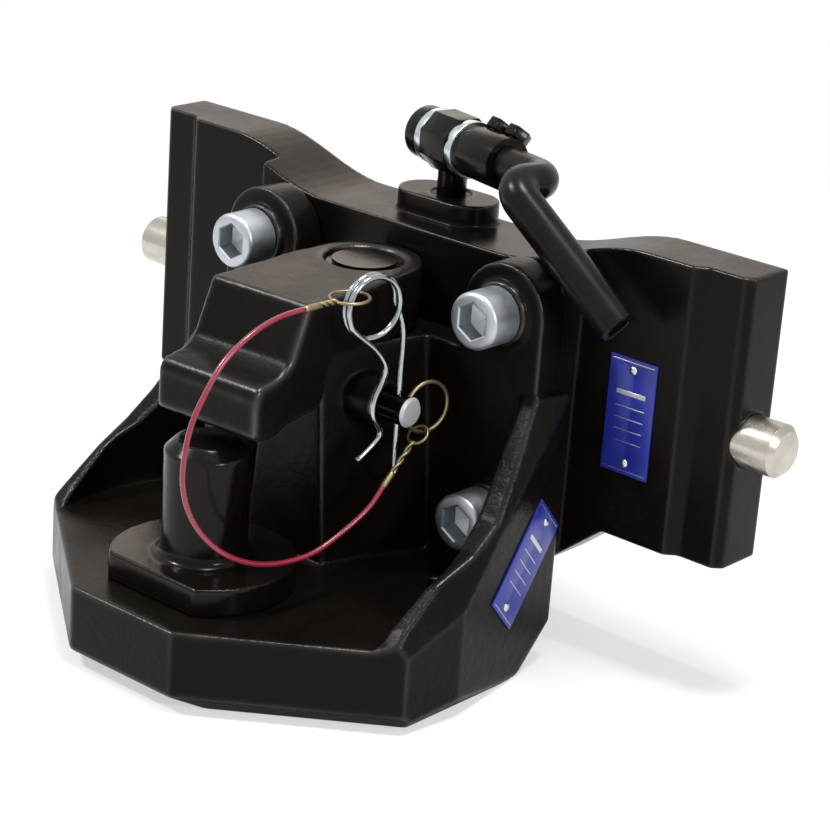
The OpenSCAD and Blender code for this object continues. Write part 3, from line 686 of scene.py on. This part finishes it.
@dataclass
class PhotoCamera:
    """Camera at the photograph's place, for an image of 830 by 830."""

    place_mm: Point = (848.05, -1051.77, 444.21)
    azimuth: float = 0.694
    elevation: float = 0.352
    roll: float = -0.074
    lens_mm: float = 111.86
    sensor_mm: float = 36.0
    far_m: float = 20.0

    def build(self) -> None:
        """Make the camera and use it for the scene."""
        sa, ca = math.sin(self.azimuth), math.cos(self.azimuth)
        se, ce = math.sin(self.elevation), math.cos(self.elevation)
        ahead = Vector((-sa * ce, ca * ce, -se))
        right = Vector((ca, sa, 0))
        down = ahead.cross(right)
        c, s = math.cos(self.roll), math.sin(self.roll)
        across, below = c * right + s * down, c * down - s * right
        data = bpy.data.cameras.new("photo_camera")
        data.lens, data.sensor_width, data.clip_end = self.lens_mm, self.sensor_mm, self.far_m
        camera = bpy.data.objects.new("photo_camera", data)
        turn = Matrix((across, -below, -ahead)).transposed().to_4x4()
        camera.matrix_world = Matrix.Translation(Vector(self.place_mm) * MM) @ turn
        bpy.context.scene.collection.objects.link(camera)
        bpy.context.scene.camera = camera


@dataclass(frozen=True)
class Lamp:
    """One square lamp aimed at the hook, in metres and watts."""

    name: str
    place: Point
    size: float
    power: float
    tint: str = "#ffffff"
    target: Point = (0.0, -0.1, 0.0)

    def build(self) -> None:
        """Make the lamp."""
        data = bpy.data.lights.new(self.name, "AREA")
        data.size, data.energy, data.color = self.size, self.power, linear(self.tint)[:3]
        lamp = bpy.data.objects.new(self.name, data)
        aim = (Vector(self.target) - Vector(self.place)).to_track_quat("-Z", "Y")
        lamp.matrix_world = Matrix.Translation(self.place) @ aim.to_matrix().to_4x4()
        bpy.context.scene.collection.objects.link(lamp)


@dataclass
class Studio:
    """Pale floor, white surroundings and soft lamps."""

    floor_mm: float = -139.0
    floor_half_m: float = 6.0
    floor_tint: str = "#f4f4f4"
    fade_m: tuple[float, float] = (0.45, 1.1)
    near_glow: float = 0.55
    fill: float = 0.45
    lamps: tuple[Lamp, ...] = (
        Lamp("key", (-1.3, -1.2, 1.9), 0.36, 44.0),
        Lamp("top", (0.3, -0.1, 1.9), 0.45, 30.0),
        Lamp("side", (1.9, -0.5, 0.9), 0.36, 16.0),
        Lamp("back", (-1.7, 1.9, 1.3), 1.3, 6.0, "#ffe2c8"),
    )

    def build(self) -> None:
        """Make the floor, the world and the lamps."""
        bpy.context.scene.view_settings.view_transform = "Standard"
        self.build_floor()
        self.build_world()
        for lamp in self.lamps:
            lamp.build()

    def build_world(self) -> None:
        """Make surroundings that are white to the eye and dimmer as a light."""
        world = bpy.data.worlds.new("white_room")
        bpy.context.scene.world = world
        world.use_nodes = True
        tree = world.node_tree
        tree.nodes.clear()
        path = put(tree, "ShaderNodeLightPath").outputs
        seen = path["Is Camera Ray"]
        for ray in ("Is Transmission Ray", "Is Glossy Ray"):
            either = put(tree, "ShaderNodeMath", {0: seen, 1: path[ray]}, operation="MAXIMUM")
            seen = either.outputs[0]
        strength = put(tree, "ShaderNodeMapRange", {
            "Value": seen, "To Min": self.fill, "To Max": 1.0,
        })
        light = put(tree, "ShaderNodeBackground", {"Color": WHITE, "Strength": strength.outputs[0]})
        put(tree, "ShaderNodeOutputWorld", {"Surface": light.outputs[0]})

    def build_floor(self) -> None:
        """Make a wide matt floor that keeps the hook's shadow and turns white far off."""
        material, tree = blank_material("studio_floor")
        path = put(tree, "ShaderNodeLightPath").outputs
        matt = put(tree, "ShaderNodeBsdfDiffuse", {"Color": linear(self.floor_tint)})
        glow = put(tree, "ShaderNodeEmission", {"Color": WHITE, "Strength": 1.0})
        place = put(tree, "ShaderNodeTexCoord").outputs["Object"]
        reach = put(tree, "ShaderNodeVectorMath", {0: place}, operation="LENGTH")
        near, far = self.fade_m
        fade = put(tree, "ShaderNodeMapRange", {
            "Value": reach.outputs["Value"], "From Min": near, "From Max": far,
            "To Min": self.near_glow, "To Max": 1.0,
        }, interpolation_type="SMOOTHSTEP")
        share = put(tree, "ShaderNodeMath", {
            0: path["Is Camera Ray"], 1: fade.outputs[0],
        }, operation="MULTIPLY")
        mixed = put(tree, "ShaderNodeMixShader", {
            0: share.outputs[0], 1: matt.outputs[0], 2: glow.outputs[0],
        })
        put(tree, "ShaderNodeOutputMaterial", {"Surface": mixed.outputs[0]})
        bm = bmesh.new()
        level = Matrix.Translation((0, 0, self.floor_mm * MM))
        bmesh.ops.create_grid(
            bm, x_segments=4, y_segments=4, size=self.floor_half_m, matrix=level
        )
        new_piece("studio_floor", bm, material)


@dataclass
class Lanyard:
    """Red coated rope from the clip's coil to the ring, with a twisted wire eye at each end."""

    finishes: Finishes
    route_mm: tuple[Point, ...] = (
        (46.5, -177.4, 59), (46, -191, 58.5), (46, -205, 56), (46, -218, 51), (45, -230, 42.5),
        (44.5, -240, 30), (44, -248, 16), (44, -252, 1), (44.5, -253, -14), (45.5, -249, -29),
        (47, -241, -42), (49, -230, -53), (51, -217, -61), (53, -203, -66), (55, -188, -68),
        (57, -172, -67), (59, -156, -61), (62, -139, -50.6), (61.4, -126.5, -40.6),
    )
    route_step_mm: float = 1.5
    rope_d_mm: float = 2.8
    wire_d_mm: float = 1.7
    crimp_d_mm: float = 3.5
    crimp_len_mm: float = 9.0
    upper_mm: tuple[Point, Point] = ((46.5, -177, 59), (48, -156.5, 59.5))
    lower_mm: tuple[Point, Point] = ((61.5, -127.5, -41.4), (60, -104.5, -22.9))
    upper_loop_mm: float = 10.0
    lower_loop_mm: float = 5.5
    twist_r_mm: float = 0.9
    twist_half_turns: int = 3
    twist_steps: int = 24
    loop_steps: int = 48
    loop_part: tuple[float, float] = (1.04, 1.92)

    def build(self) -> None:
        path = smooth_path(self.route_mm, self.route_step_mm)
        wire = tube(path, self.rope_d_mm / 2 * MM)
        rope = new_piece("lanyard_rope", wire, self.finishes.rope, None)
        upper = self.eye("lanyard_eye_upper", self.upper_mm, self.upper_loop_mm)
        lower = self.eye("lanyard_eye_lower", self.lower_mm, self.lower_loop_mm)
        settle(upper, Body.CLIP, Slot.BRASS, "lanyard_upper_eye")
        settle(lower, Body.LOCK, Slot.BRASS, "lanyard_lower_eye")
        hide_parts("lanyard_cable")
        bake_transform(rope)

    def eye(self, name: str, ends_mm: tuple[Point, Point], loop_mm: float) -> Object:
        """Make one crimped eye of twisted bare wire.

        Args:
            name: piece name.
            ends_mm: start of the crimp and start of the loop.
            loop_mm: mean radius of the loop.

        Returns:
            The eye piece.
        """
        wire, sides = self.wire_d_mm / 2 * MM, 10
        a, b = (Vector(p) * MM for p in ends_mm)
        along = (b - a).normalized()
        side = (Vector((1, 0, 0)) - along * along.x).normalized()
        up = along.cross(side)
        crimp_end = a + along * self.crimp_len_mm * MM
        crimp = smooth_path([a / MM, (a + crimp_end) / 2 / MM, crimp_end / MM], 1.0)
        bm = tube(crimp, self.crimp_d_mm / 2 * MM)
        reach = (b - crimp_end).length
        for half in (0, 1):
            neck = []
            for t in (i / self.twist_steps for i in range(self.twist_steps + 1)):
                swing = math.pi * (half + self.twist_half_turns * t)
                offset = side * math.cos(swing) + up * math.sin(swing)
                neck.append(crimp_end + along * reach * t + self.twist_r_mm * MM * offset)
            tube(neck, wire, sides, bm)
        radius = loop_mm * MM
        centre = b + along * (radius - MM)
        start, sweep = self.loop_part
        steps = range(self.loop_steps + 1)
        angles = (math.pi * (start + sweep * i / self.loop_steps) for i in steps)
        loop = [centre + radius * (along * math.cos(t) + side * math.sin(t)) for t in angles]
        tube(loop, wire, sides, bm)
        return new_piece(name, bm, self.finishes.brass, 50.0)


@dataclass
class CastForm:
    """A casting or forging: the CAD solid with the soft edges and fillets of a mould."""

    node: str
    piece: str
    body: Body
    voxel_mm: float
    passes: int
    keep: float
    convex_full_mm: float = 2.5

    def build(self, finish: Material) -> None:
        """Round the solid's edges and mark its convex edges for the paint's painted highlight.

        Args:
            finish: material of the casting.
        """
        obj = new_piece(self.piece, merged_copy(self.node), finish)
        skin = obj.modifiers.new("skin", "REMESH")
        skin.mode, skin.voxel_size = "VOXEL", self.voxel_mm * MM
        sharp = evaluated(obj)
        obj.data = sharp
        blur = obj.modifiers.new("blur", "SMOOTH")
        blur.factor, blur.iterations = 0.5, self.passes
        soft = evaluated(obj)
        count = len(soft.vertices)
        before, after, normal = (np.empty(count * 3, np.float32) for _ in range(3))
        sharp.vertices.foreach_get("co", before)
        soft.vertices.foreach_get("co", after)
        soft.vertices.foreach_get("normal", normal)
        # how far smoothing sinks each point marks the convex edges that carry the painted highlight
        sunk = ((before - after) * normal).reshape(-1, 3).sum(1)
        convex_edge = soft.attributes.new("convex_edge", "FLOAT", "POINT")
        convex_edge.data.foreach_set("value", np.clip(sunk / (self.convex_full_mm * MM), 0, 1))
        soft.materials.clear()
        soft.materials.append(finish)
        obj.data = soft
        obj.modifiers.new("thin", "DECIMATE").ratio = self.keep
        obj.data = evaluated(obj)
        obj.data.shade_smooth()
        settle(obj, self.body, Slot.PAINT, self.node)


@dataclass
class CarriageHardware:
    """Screws, nut, pins, cover and nameplates of the carriage and the casting."""

    finishes: Finishes
    tree: ScatterTree
    screw_span_mm: float = 170.0
    screw_top_mm: float = 46.5
    screw_low_mm: float = -62.5
    screw_seat_mm: float = -76.0
    screw_d_mm: float = 20.0
    screw_len_mm: float = 62.0
    screw_tip_mm: float = 1.5
    screw_edge_mm: float = 0.6
    cover_place_mm: Point = (54.0, -42.0, 55.0)
    cover_screw_d_mm: float = 6.0
    cover_screw_len_mm: float = 16.0
    tag_mm: Point = (29.0, 62.0, 1.0)
    wing_tag_mm: Point = (145.0, -37.0, 0.0)
    wall_foot_mm: Point = (118.0, -52.0, 0.0)
    wall_lean_mm: tuple[float, float] = (15.0, 90.0)
    wall_tag_mm: Point = (0.0, -34.0, -75.0)
    wall_tag_turn: float = 45.0
    # name, share of the plate's width, height in mm, and places as shares of the plate's height
    marks: tuple[tuple[str, float, float, tuple[float, ...]], ...] = (
        ("rules", 0.62, 0.45, (-0.22, -0.12, -0.02, 0.08)),
        ("heading", 0.62, 2.4, (0.2,)),
        ("border", 0.9, 0.5, (-0.47, 0.47)),
    )
    mark_t_mm: float = 0.12
    mark_edge_mm: float = 0.04
    mark_lift_mm: float = 0.03
    rivet_r_mm: float = 2.25
    rivet_dome_mm: float = 1.2
    rivet_inset_mm: float = 6.0

    def build(self) -> None:
        """Make every piece of the group."""
        self.hook_screws()
        self.cover()
        nut = eased("coupling_pin_nut", "coupling_nut", 1.0, self.finishes.zinc)
        settle(nut, Body.CARRIAGE, Slot.ZINC, "coupling_nut")
        for side, body in SIDES:
            node = f"locking_pin_{side}"
            bolt = eased(f"locking_bolt_{side}", node, 0.7, self.finishes.turned)
            settle(bolt, body, Slot.ZINC, node)
        upright = math.radians(90)
        wing = Matrix.Translation(Vector(self.wing_tag_mm) * MM) @ Matrix.Rotation(upright, 4, "X")
        wall = (
            Matrix.Translation(Vector(self.wall_foot_mm) * MM)
            @ Matrix.Rotation(math.atan2(*self.wall_lean_mm), 4, "Z")
            @ Matrix.Translation(Vector(self.wall_tag_mm) * MM)
            @ Matrix.Rotation(upright, 4, "Y")
            @ Matrix.Rotation(math.radians(self.wall_tag_turn), 4, "Z")
        )
        rivets = [
            self.nameplate(node, place)
            for node, place in (("nameplate_carriage", wing), ("nameplate_body", wall))
        ]
        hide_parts("nameplate_rivets")

    def hook_screws(self) -> None:
        """Make the socket-head screws of the casting."""
        d, length = self.screw_d_mm, self.screw_len_mm
        tip, edge = self.screw_tip_mm, self.screw_edge_mm
        head, socket = 0.75 * d, 0.85 * d
        rings = (
            (-length, round_of(d / 2 - tip)),  # bevelled tip and shank
            (tip - length, round_of(d / 2)),
            (-SEAM_MM, round_of(d / 2)),
            (0.0, round_of(head - edge)),  # head with a rounded rim
            (edge, round_of(head)),
            (d - 2.2, round_of(head)),
            (d - 1.4, round_of(head - 0.25)),
            (d - 0.5, round_of(head - 1.1)),
            (d, round_of(head - 2.2)),
            (d, hex_of(socket + 1.4)),  # bevelled socket with a drilled bottom
            (d - edge, hex_of(socket)),
            (d / 2, hex_of(socket)),
            (d / 2 - 1.5, hex_of(socket * 0.5)),
            (d / 2 - 2.5, hex_of(socket * 0.08)),
        )
        x, heights = self.screw_span_mm / 2, (self.screw_top_mm, self.screw_low_mm)
        places = [Vector((s * x, self.screw_seat_mm, z)) * MM for s in (-1, 1) for z in heights]
        turn = (math.radians(90), 0.0, 0.0)
        screw = ring_stack(rings, 60)
        screws = self.tree.scatter("socket_screws", screw, places, turn, self.finishes.flake, 28.0)
        settle(screws, Body.CARRIAGE, Slot.ZINC, "hook_screws")

    def cover(self) -> None:
        """Make the back cover and its countersunk screws."""
        plate = eased("rear_cover", "back_cover", 0.5, self.finishes.zinc)
        settle(plate, Body.CARRIAGE, Slot.ZINC, "back_cover")
        d, length = self.cover_screw_d_mm, self.cover_screw_len_mm
        rings = (
            (-length, round_of(d / 2 - 0.8)),  # bevelled tip and shank
            (1 - length, round_of(d / 2)),
            (-0.45 * d, round_of(d / 2)),
            (-0.2, round_of(0.92 * d)),  # countersunk head
            (-2 * SEAM_MM, round_of(0.9 * d)),
            (-2 * SEAM_MM, hex_of(0.55 * d)),  # socket
            (-2.0, hex_of(0.5 * d)),
            (-2.4, hex_of(0.05 * d)),
        )
        x, *heights = self.cover_place_mm
        places = [Vector((s * x, 0, z)) * MM for s in (-1, 1) for z in heights]
        turn = (math.radians(-90), 0.0, 0.0)
        screw = ring_stack(rings, 36)
        screws = self.tree.scatter("sunk_screws", screw, places, turn, self.finishes.zinc)
        settle(screws, Body.CARRIAGE, Slot.ZINC, "cover_screws")

    def nameplate(self, node: str, place: Matrix) -> Object:
        """Make one blank plate with a border, empty rules and two domed rivets.

        Args:
            node: CAD node of the plate.
            place: frame of the plate, Z out of the surface.

        Returns:
            The rivet piece.
        """
        w, h, t = (v * MM for v in self.tag_mm)
        name = node.replace("nameplate", "blank_plate")
        settle(eased(name, node, 0.25, self.finishes.blue), Body.CARRIAGE, Slot.BLUE, node)
        turn = tuple(place.to_euler())
        for label, share, height_mm, rows in self.marks:
            bm = bmesh.new()
            grow = Matrix.Diagonal((share * w, height_mm * MM, self.mark_t_mm * MM, 1.0))
            bmesh.ops.create_cube(bm, size=1.0, matrix=grow)
            edge = self.mark_edge_mm * MM
            bmesh.ops.bevel(bm, geom=bm.edges[:], offset=edge, segments=1, affect="EDGES")
            spots = [place @ Vector((0, h * r, t + self.mark_lift_mm * MM)) for r in rows]
            strips = self.tree.scatter(f"{name}_{label}", bm, spots, turn, self.finishes.alloy)
            settle(strips, Body.CARRIAGE, Slot.RIVET)
        r, dome = self.rivet_r_mm, self.rivet_dome_mm
        rings = [(-3.0, round_of(1.4)), (-SEAM_MM, round_of(1.5)), (0.0, round_of(r))]
        for a in (0.25, 0.55, 0.85, 1.15, 1.4):
            rings.append((dome * math.sin(a), round_of(r * math.cos(a))))
        reach = h / 2 - self.rivet_inset_mm * MM
        spots = [place @ Vector((0, s * reach, t)) for s in (-1, 1)]
        name = node.replace("nameplate", "plate_rivets")
        pair = self.tree.scatter(name, ring_stack(rings, 24), spots, turn, self.finishes.alloy)
        return settle(pair, Body.CARRIAGE, Slot.RIVET)


@dataclass
class ReturnSpring:
    """Coil spring that pushes one locking bolt out."""

    side: str
    body: Body
    wire_mm: float = 3.5
    turns: int = 4
    steps: int = 24

    def build(self, finish: Material) -> None:
        """Wind the spring in its CAD box and stretch it from its seat to the bolt.

        Args:
            finish: material of the wire.
        """
        node = f"locking_spring_{self.side}"
        low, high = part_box(node)
        wire = self.wire_mm / 2 * MM
        seat, shoulder = sorted((low.x + wire, high.x - wire), key=abs)
        radius = (high.z - low.z) / 2 - wire
        middle = (low + high) / 2
        count = self.turns * self.steps
        path = []
        for i in range(count + 1):
            a = math.tau * i / self.steps
            place = Vector((0, radius * math.cos(a), radius * math.sin(a)))
            path.append(Vector((seat + (shoulder - seat) * i / count, *middle.yz)) + place)
        name = f"return_spring_{self.side}"
        spring = new_piece(name, tube(path, wire, 12), finish, 60.0)
        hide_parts(node)
        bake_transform(spring)
        LOG.info("%s spans %s and %s", name, Body.CARRIAGE.value, self.body.value)


@dataclass
class LiftLever:
    """Pull rod eye, clamp sleeve, cap, washers, bolts and the bent lever with its hose."""

    finishes: Finishes
    axis_mm: tuple[float, float] = (-16.0, 108.0)
    axis_turn: float = 14.0
    start_x_mm: float = 46.55
    corner_one_mm: Point = (80.0, -16.0, 108.0)
    corner_two_mm: Point = (84.0, -43.0, 110.0)
    run: Point = (73.0, 18.5, -56.0)
    run_len_mm: float = 94.0
    bend_mm: float = 11.0
    bend_steps: int = 16
    hose_d_mm: float = 20.0
    bore_d_mm: float = 12.0
    hose_edge_mm: float = 0.6
    hose_lip_mm: float = 0.7
    hose_sides: int = 32

    def build(self) -> None:
        """Make every piece of the lever and the rod."""
        self.hose()
        forged = self.finishes.forged
        for piece, node, width, body, slot, finish in (
            ("lift_rod", "pull_rod", 1.0, Body.ROD, Slot.PAINT, forged),
            ("clamp_sleeve", "lever_sleeve", 0.8, Body.LEVER, Slot.PAINT, forged),
            ("end_cap", "lever_cap", 0.8, Body.LEVER, Slot.PLASTIC, self.finishes.cap),
            ("pivot_washers", "lever_washers", 0.4, Body.LEVER, Slot.ZINC, self.finishes.zinc),
            ("sleeve_bolts", "clamp_bolts", 0.6, Body.LEVER, Slot.PAINT, forged),
        ):
            settle(eased(piece, node, width, finish), body, slot, node)

    def path(self) -> list[Vector]:
        """Lay out the middle line of the hose, from the sleeve to its open end.

        Returns:
            Path points in metres.
        """
        c1, c2 = Vector(self.corner_one_mm), Vector(self.corner_two_mm)
        d0, d1, d2 = Vector((1, 0, 0)), (c2 - c1).normalized(), Vector(self.run).normalized()
        line = [Vector((self.start_x_mm, *self.axis_mm))]
        for corner, a, b in ((c1, d0, d1), (c2, d1, d2)):
            turn = a.angle(b)
            inward = (b - a * a.dot(b)).normalized()
            start = corner - a * self.bend_mm * math.tan(turn / 2)
            for i in range(self.bend_steps + 1):
                t = turn * i / self.bend_steps
                line.append(start + self.bend_mm * (a * math.sin(t) + inward * (1 - math.cos(t))))
        line.append(c2 + d2 * self.run_len_mm)
        rod = Vector((0, self.axis_mm[0], 0))
        spin = Matrix.Rotation(math.radians(-self.axis_turn), 3, "Z")
        return [(rod + spin @ (p - rod)) * MM for p in line]

    def hose(self) -> None:
        """Make the rubber hose with its open end."""
        points = self.path()
        rows = frames_along(points)
        outer, inner = self.hose_d_mm / 2 * MM, self.bore_d_mm / 2 * MM
        edge, last = self.hose_edge_mm * MM, len(points) - 1
        stations = [
            (0, inner, 0.0),
            (0, outer - self.hose_lip_mm * MM, 0.0),
            (0, outer, edge),
            *((i, outer, 0.0) for i in range(1, last)),
            (last, outer, -edge),
            (last, outer - edge, 0.0),
            (last, inner + edge, 0.0),
            (last, inner, -edge),
            *((i, inner, 0.0) for i in range(last - 1, 0, -1)),
        ]
        bm = bmesh.new()
        rings = []
        for i, radius, push in stations:
            tangent, u, v = rows[i]
            spots = hoop(points[i] + tangent * push, u, v, radius, self.hose_sides)
            rings.append([bm.verts.new(p) for p in spots])
        wrap(bm, rings, capped=False)
        bmesh.ops.recalc_face_normals(bm, faces=bm.faces)
        hose = new_piece("lever_hose", bm, self.finishes.hose, 40.0)
        settle(hose, Body.LEVER, Slot.RUBBER, "lever_grip")


@dataclass
class KeeperLock:
    """Lock pin, hairpin clip and ring."""

    finishes: Finishes
    pin_mm: tuple[float, float] = (-109.0, -6.0)
    pin_end_lean: float = 0.6
    clip_x_mm: float = 52.0
    clip_wire_mm: float = 3.1
    clip_pitch_mm: float = 3.8
    clip_lean: float = 12.0
    clip_step_mm: float = 1.2
    coil_mm: Point = (-131.6, 52.0, 16.2)
    coil_points: int = 30
    coil_per_turn: int = 18
    # places along Y and Z from the pin's axis
    leg_mm: tuple[tuple[float, float], ...] = (
        (0, -36), (0, -18), (0, 0), (0, 20), (0, 40), (-2.5, 50),
    )
    # places along X from the coil's far side, and along Y and Z from the pin's axis
    wave_mm: tuple[Point, ...] = (
        (2, -21, 36), (2, -14.2, 26), (1, -15.2, 18), (1, -19.2, 9),
        (1, -19.2, 0), (1, -14.2, -9), (1, -17.2, -14), (1, -27.2, -22),
    )
    ring_x_mm: float = 57.5
    ring_wire_mm: float = 2.2
    ring_r_mm: float = 13.5
    ring_turn: float = 10.0
    ring_from: float = -175.0
    ring_step: float = 4.4
    ring_points: int = 83

    def build(self) -> None:
        """Make every piece of the lock."""
        # the barrel takes the dark steel, a painted dark reflection, and the end face the light
        # zinc, painted light
        pin = eased("keeper_lock_pin", "lock_pin", 0.5, self.finishes.dark_reflection_steel)
        pin.data.materials.append(self.finishes.lit_end_zinc)
        for face in pin.data.polygons:
            outward = face.normal.x > self.pin_end_lean
            face.material_index = int(outward and face.center.x > self.clip_x_mm * MM)
        settle(pin, Body.LOCK, Slot.ZINC, "lock_pin")
        self.clip()
        self.ring()

    def clip(self) -> None:
        """Make the hairpin clip: straight leg, coil and waved leg."""
        y, z = self.pin_mm
        cy, cz, r = self.coil_mm
        x, pitch = self.clip_x_mm, self.clip_pitch_mm
        line = [(x, y + dy, z + dz) for dy, dz in self.leg_mm]
        for turns in (i / self.coil_per_turn for i in range(self.coil_points)):
            a = math.tau * turns
            line.append((x + pitch * turns, cy + r * math.cos(a), cz + r * math.sin(a)))
        line += [(x + pitch + dx, y + dy, z + dz) for dx, dy, dz in self.wave_mm]
        foot = Vector((x, y, 0))
        spin = Matrix.Rotation(math.radians(-self.clip_lean), 3, "Z")
        path = smooth_path([foot + spin @ (Vector(q) - foot) for q in line], self.clip_step_mm)
        wire = tube(path, self.clip_wire_mm / 2 * MM)
        clip = new_piece("spring_clip", wire, self.finishes.spring, 60.0)
        settle(clip, Body.CLIP, Slot.ZINC, "hairpin_clip")

    def ring(self) -> None:
        """Make the ring that hangs in the lock pin's cross hole."""
        turn = math.radians(self.ring_turn)
        out, up = Vector((math.sin(turn), math.cos(turn), 0)), Vector((0, 0, 1))
        centre = Vector((self.ring_x_mm, *self.pin_mm)) + out * self.ring_r_mm
        line = []
        for i in range(self.ring_points):
            t = math.radians(self.ring_from + self.ring_step * i)
            line.append((centre + self.ring_r_mm * (out * math.cos(t) + up * math.sin(t))) * MM)
        wire = tube(line, self.ring_wire_mm / 2 * MM, 14)
        ring = new_piece("lock_ring", wire, self.finishes.brass, 60.0)
        settle(ring, Body.LOCK, Slot.BRASS, "pull_ring")


def dress_nodes(finishes: Finishes) -> None:
    """Give the CAD nodes that stay their finishes.

    Args:
        finishes: finishes of the hook.
    """
    inner = "spring_seats follower_peg_left follower_peg_right cam_plate cam_dowel keeper_key"
    groups = (
        (inner, finishes.steel),
        ("keeper_stem keeper_ring lever_bar", finishes.forged),
        ("coupling_washer", finishes.zinc),
        ("rod_bush", finishes.bronze),
    )
    for names, material in groups:
        for node in names.split():
            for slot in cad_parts[node].material_slots:
                slot.material = material


def main() -> None:
    """Build the hook in order."""
    logging.basicConfig(level=logging.INFO, format="%(name)s: %(message)s")
    PhotoCamera().build()
    Studio().build()
    finishes = Finishes()
    tree = ScatterTree()
    Lanyard(finishes).build()
    # node, piece, body, voxel in mm, smoothing passes and share of the faces kept
    for row, finish in (
        (("hook_body", "tray_casting", Body.CARRIAGE, 0.9, 22, 0.28), finishes.cast),
        (("carriage_plate", "carriage_slab", Body.CARRIAGE, 0.8, 16, 0.24), finishes.plate),
        (("keeper", "keeper_forging", Body.KEEPER, 1.2, 26, 0.6), finishes.cast),
        (("coupling_pin", "upright_pin", Body.CARRIAGE, 1.0, 5, 0.6), finishes.forged),
    ):
        CastForm(*row).build(finish)
    CarriageHardware(finishes, tree).build()
    for side, body in SIDES:
        ReturnSpring(side, body).build(finishes.steel)
    LiftLever(finishes).build()
    KeeperLock(finishes).build()
    dress_nodes(finishes)


if __name__ == "__main__":
    main()
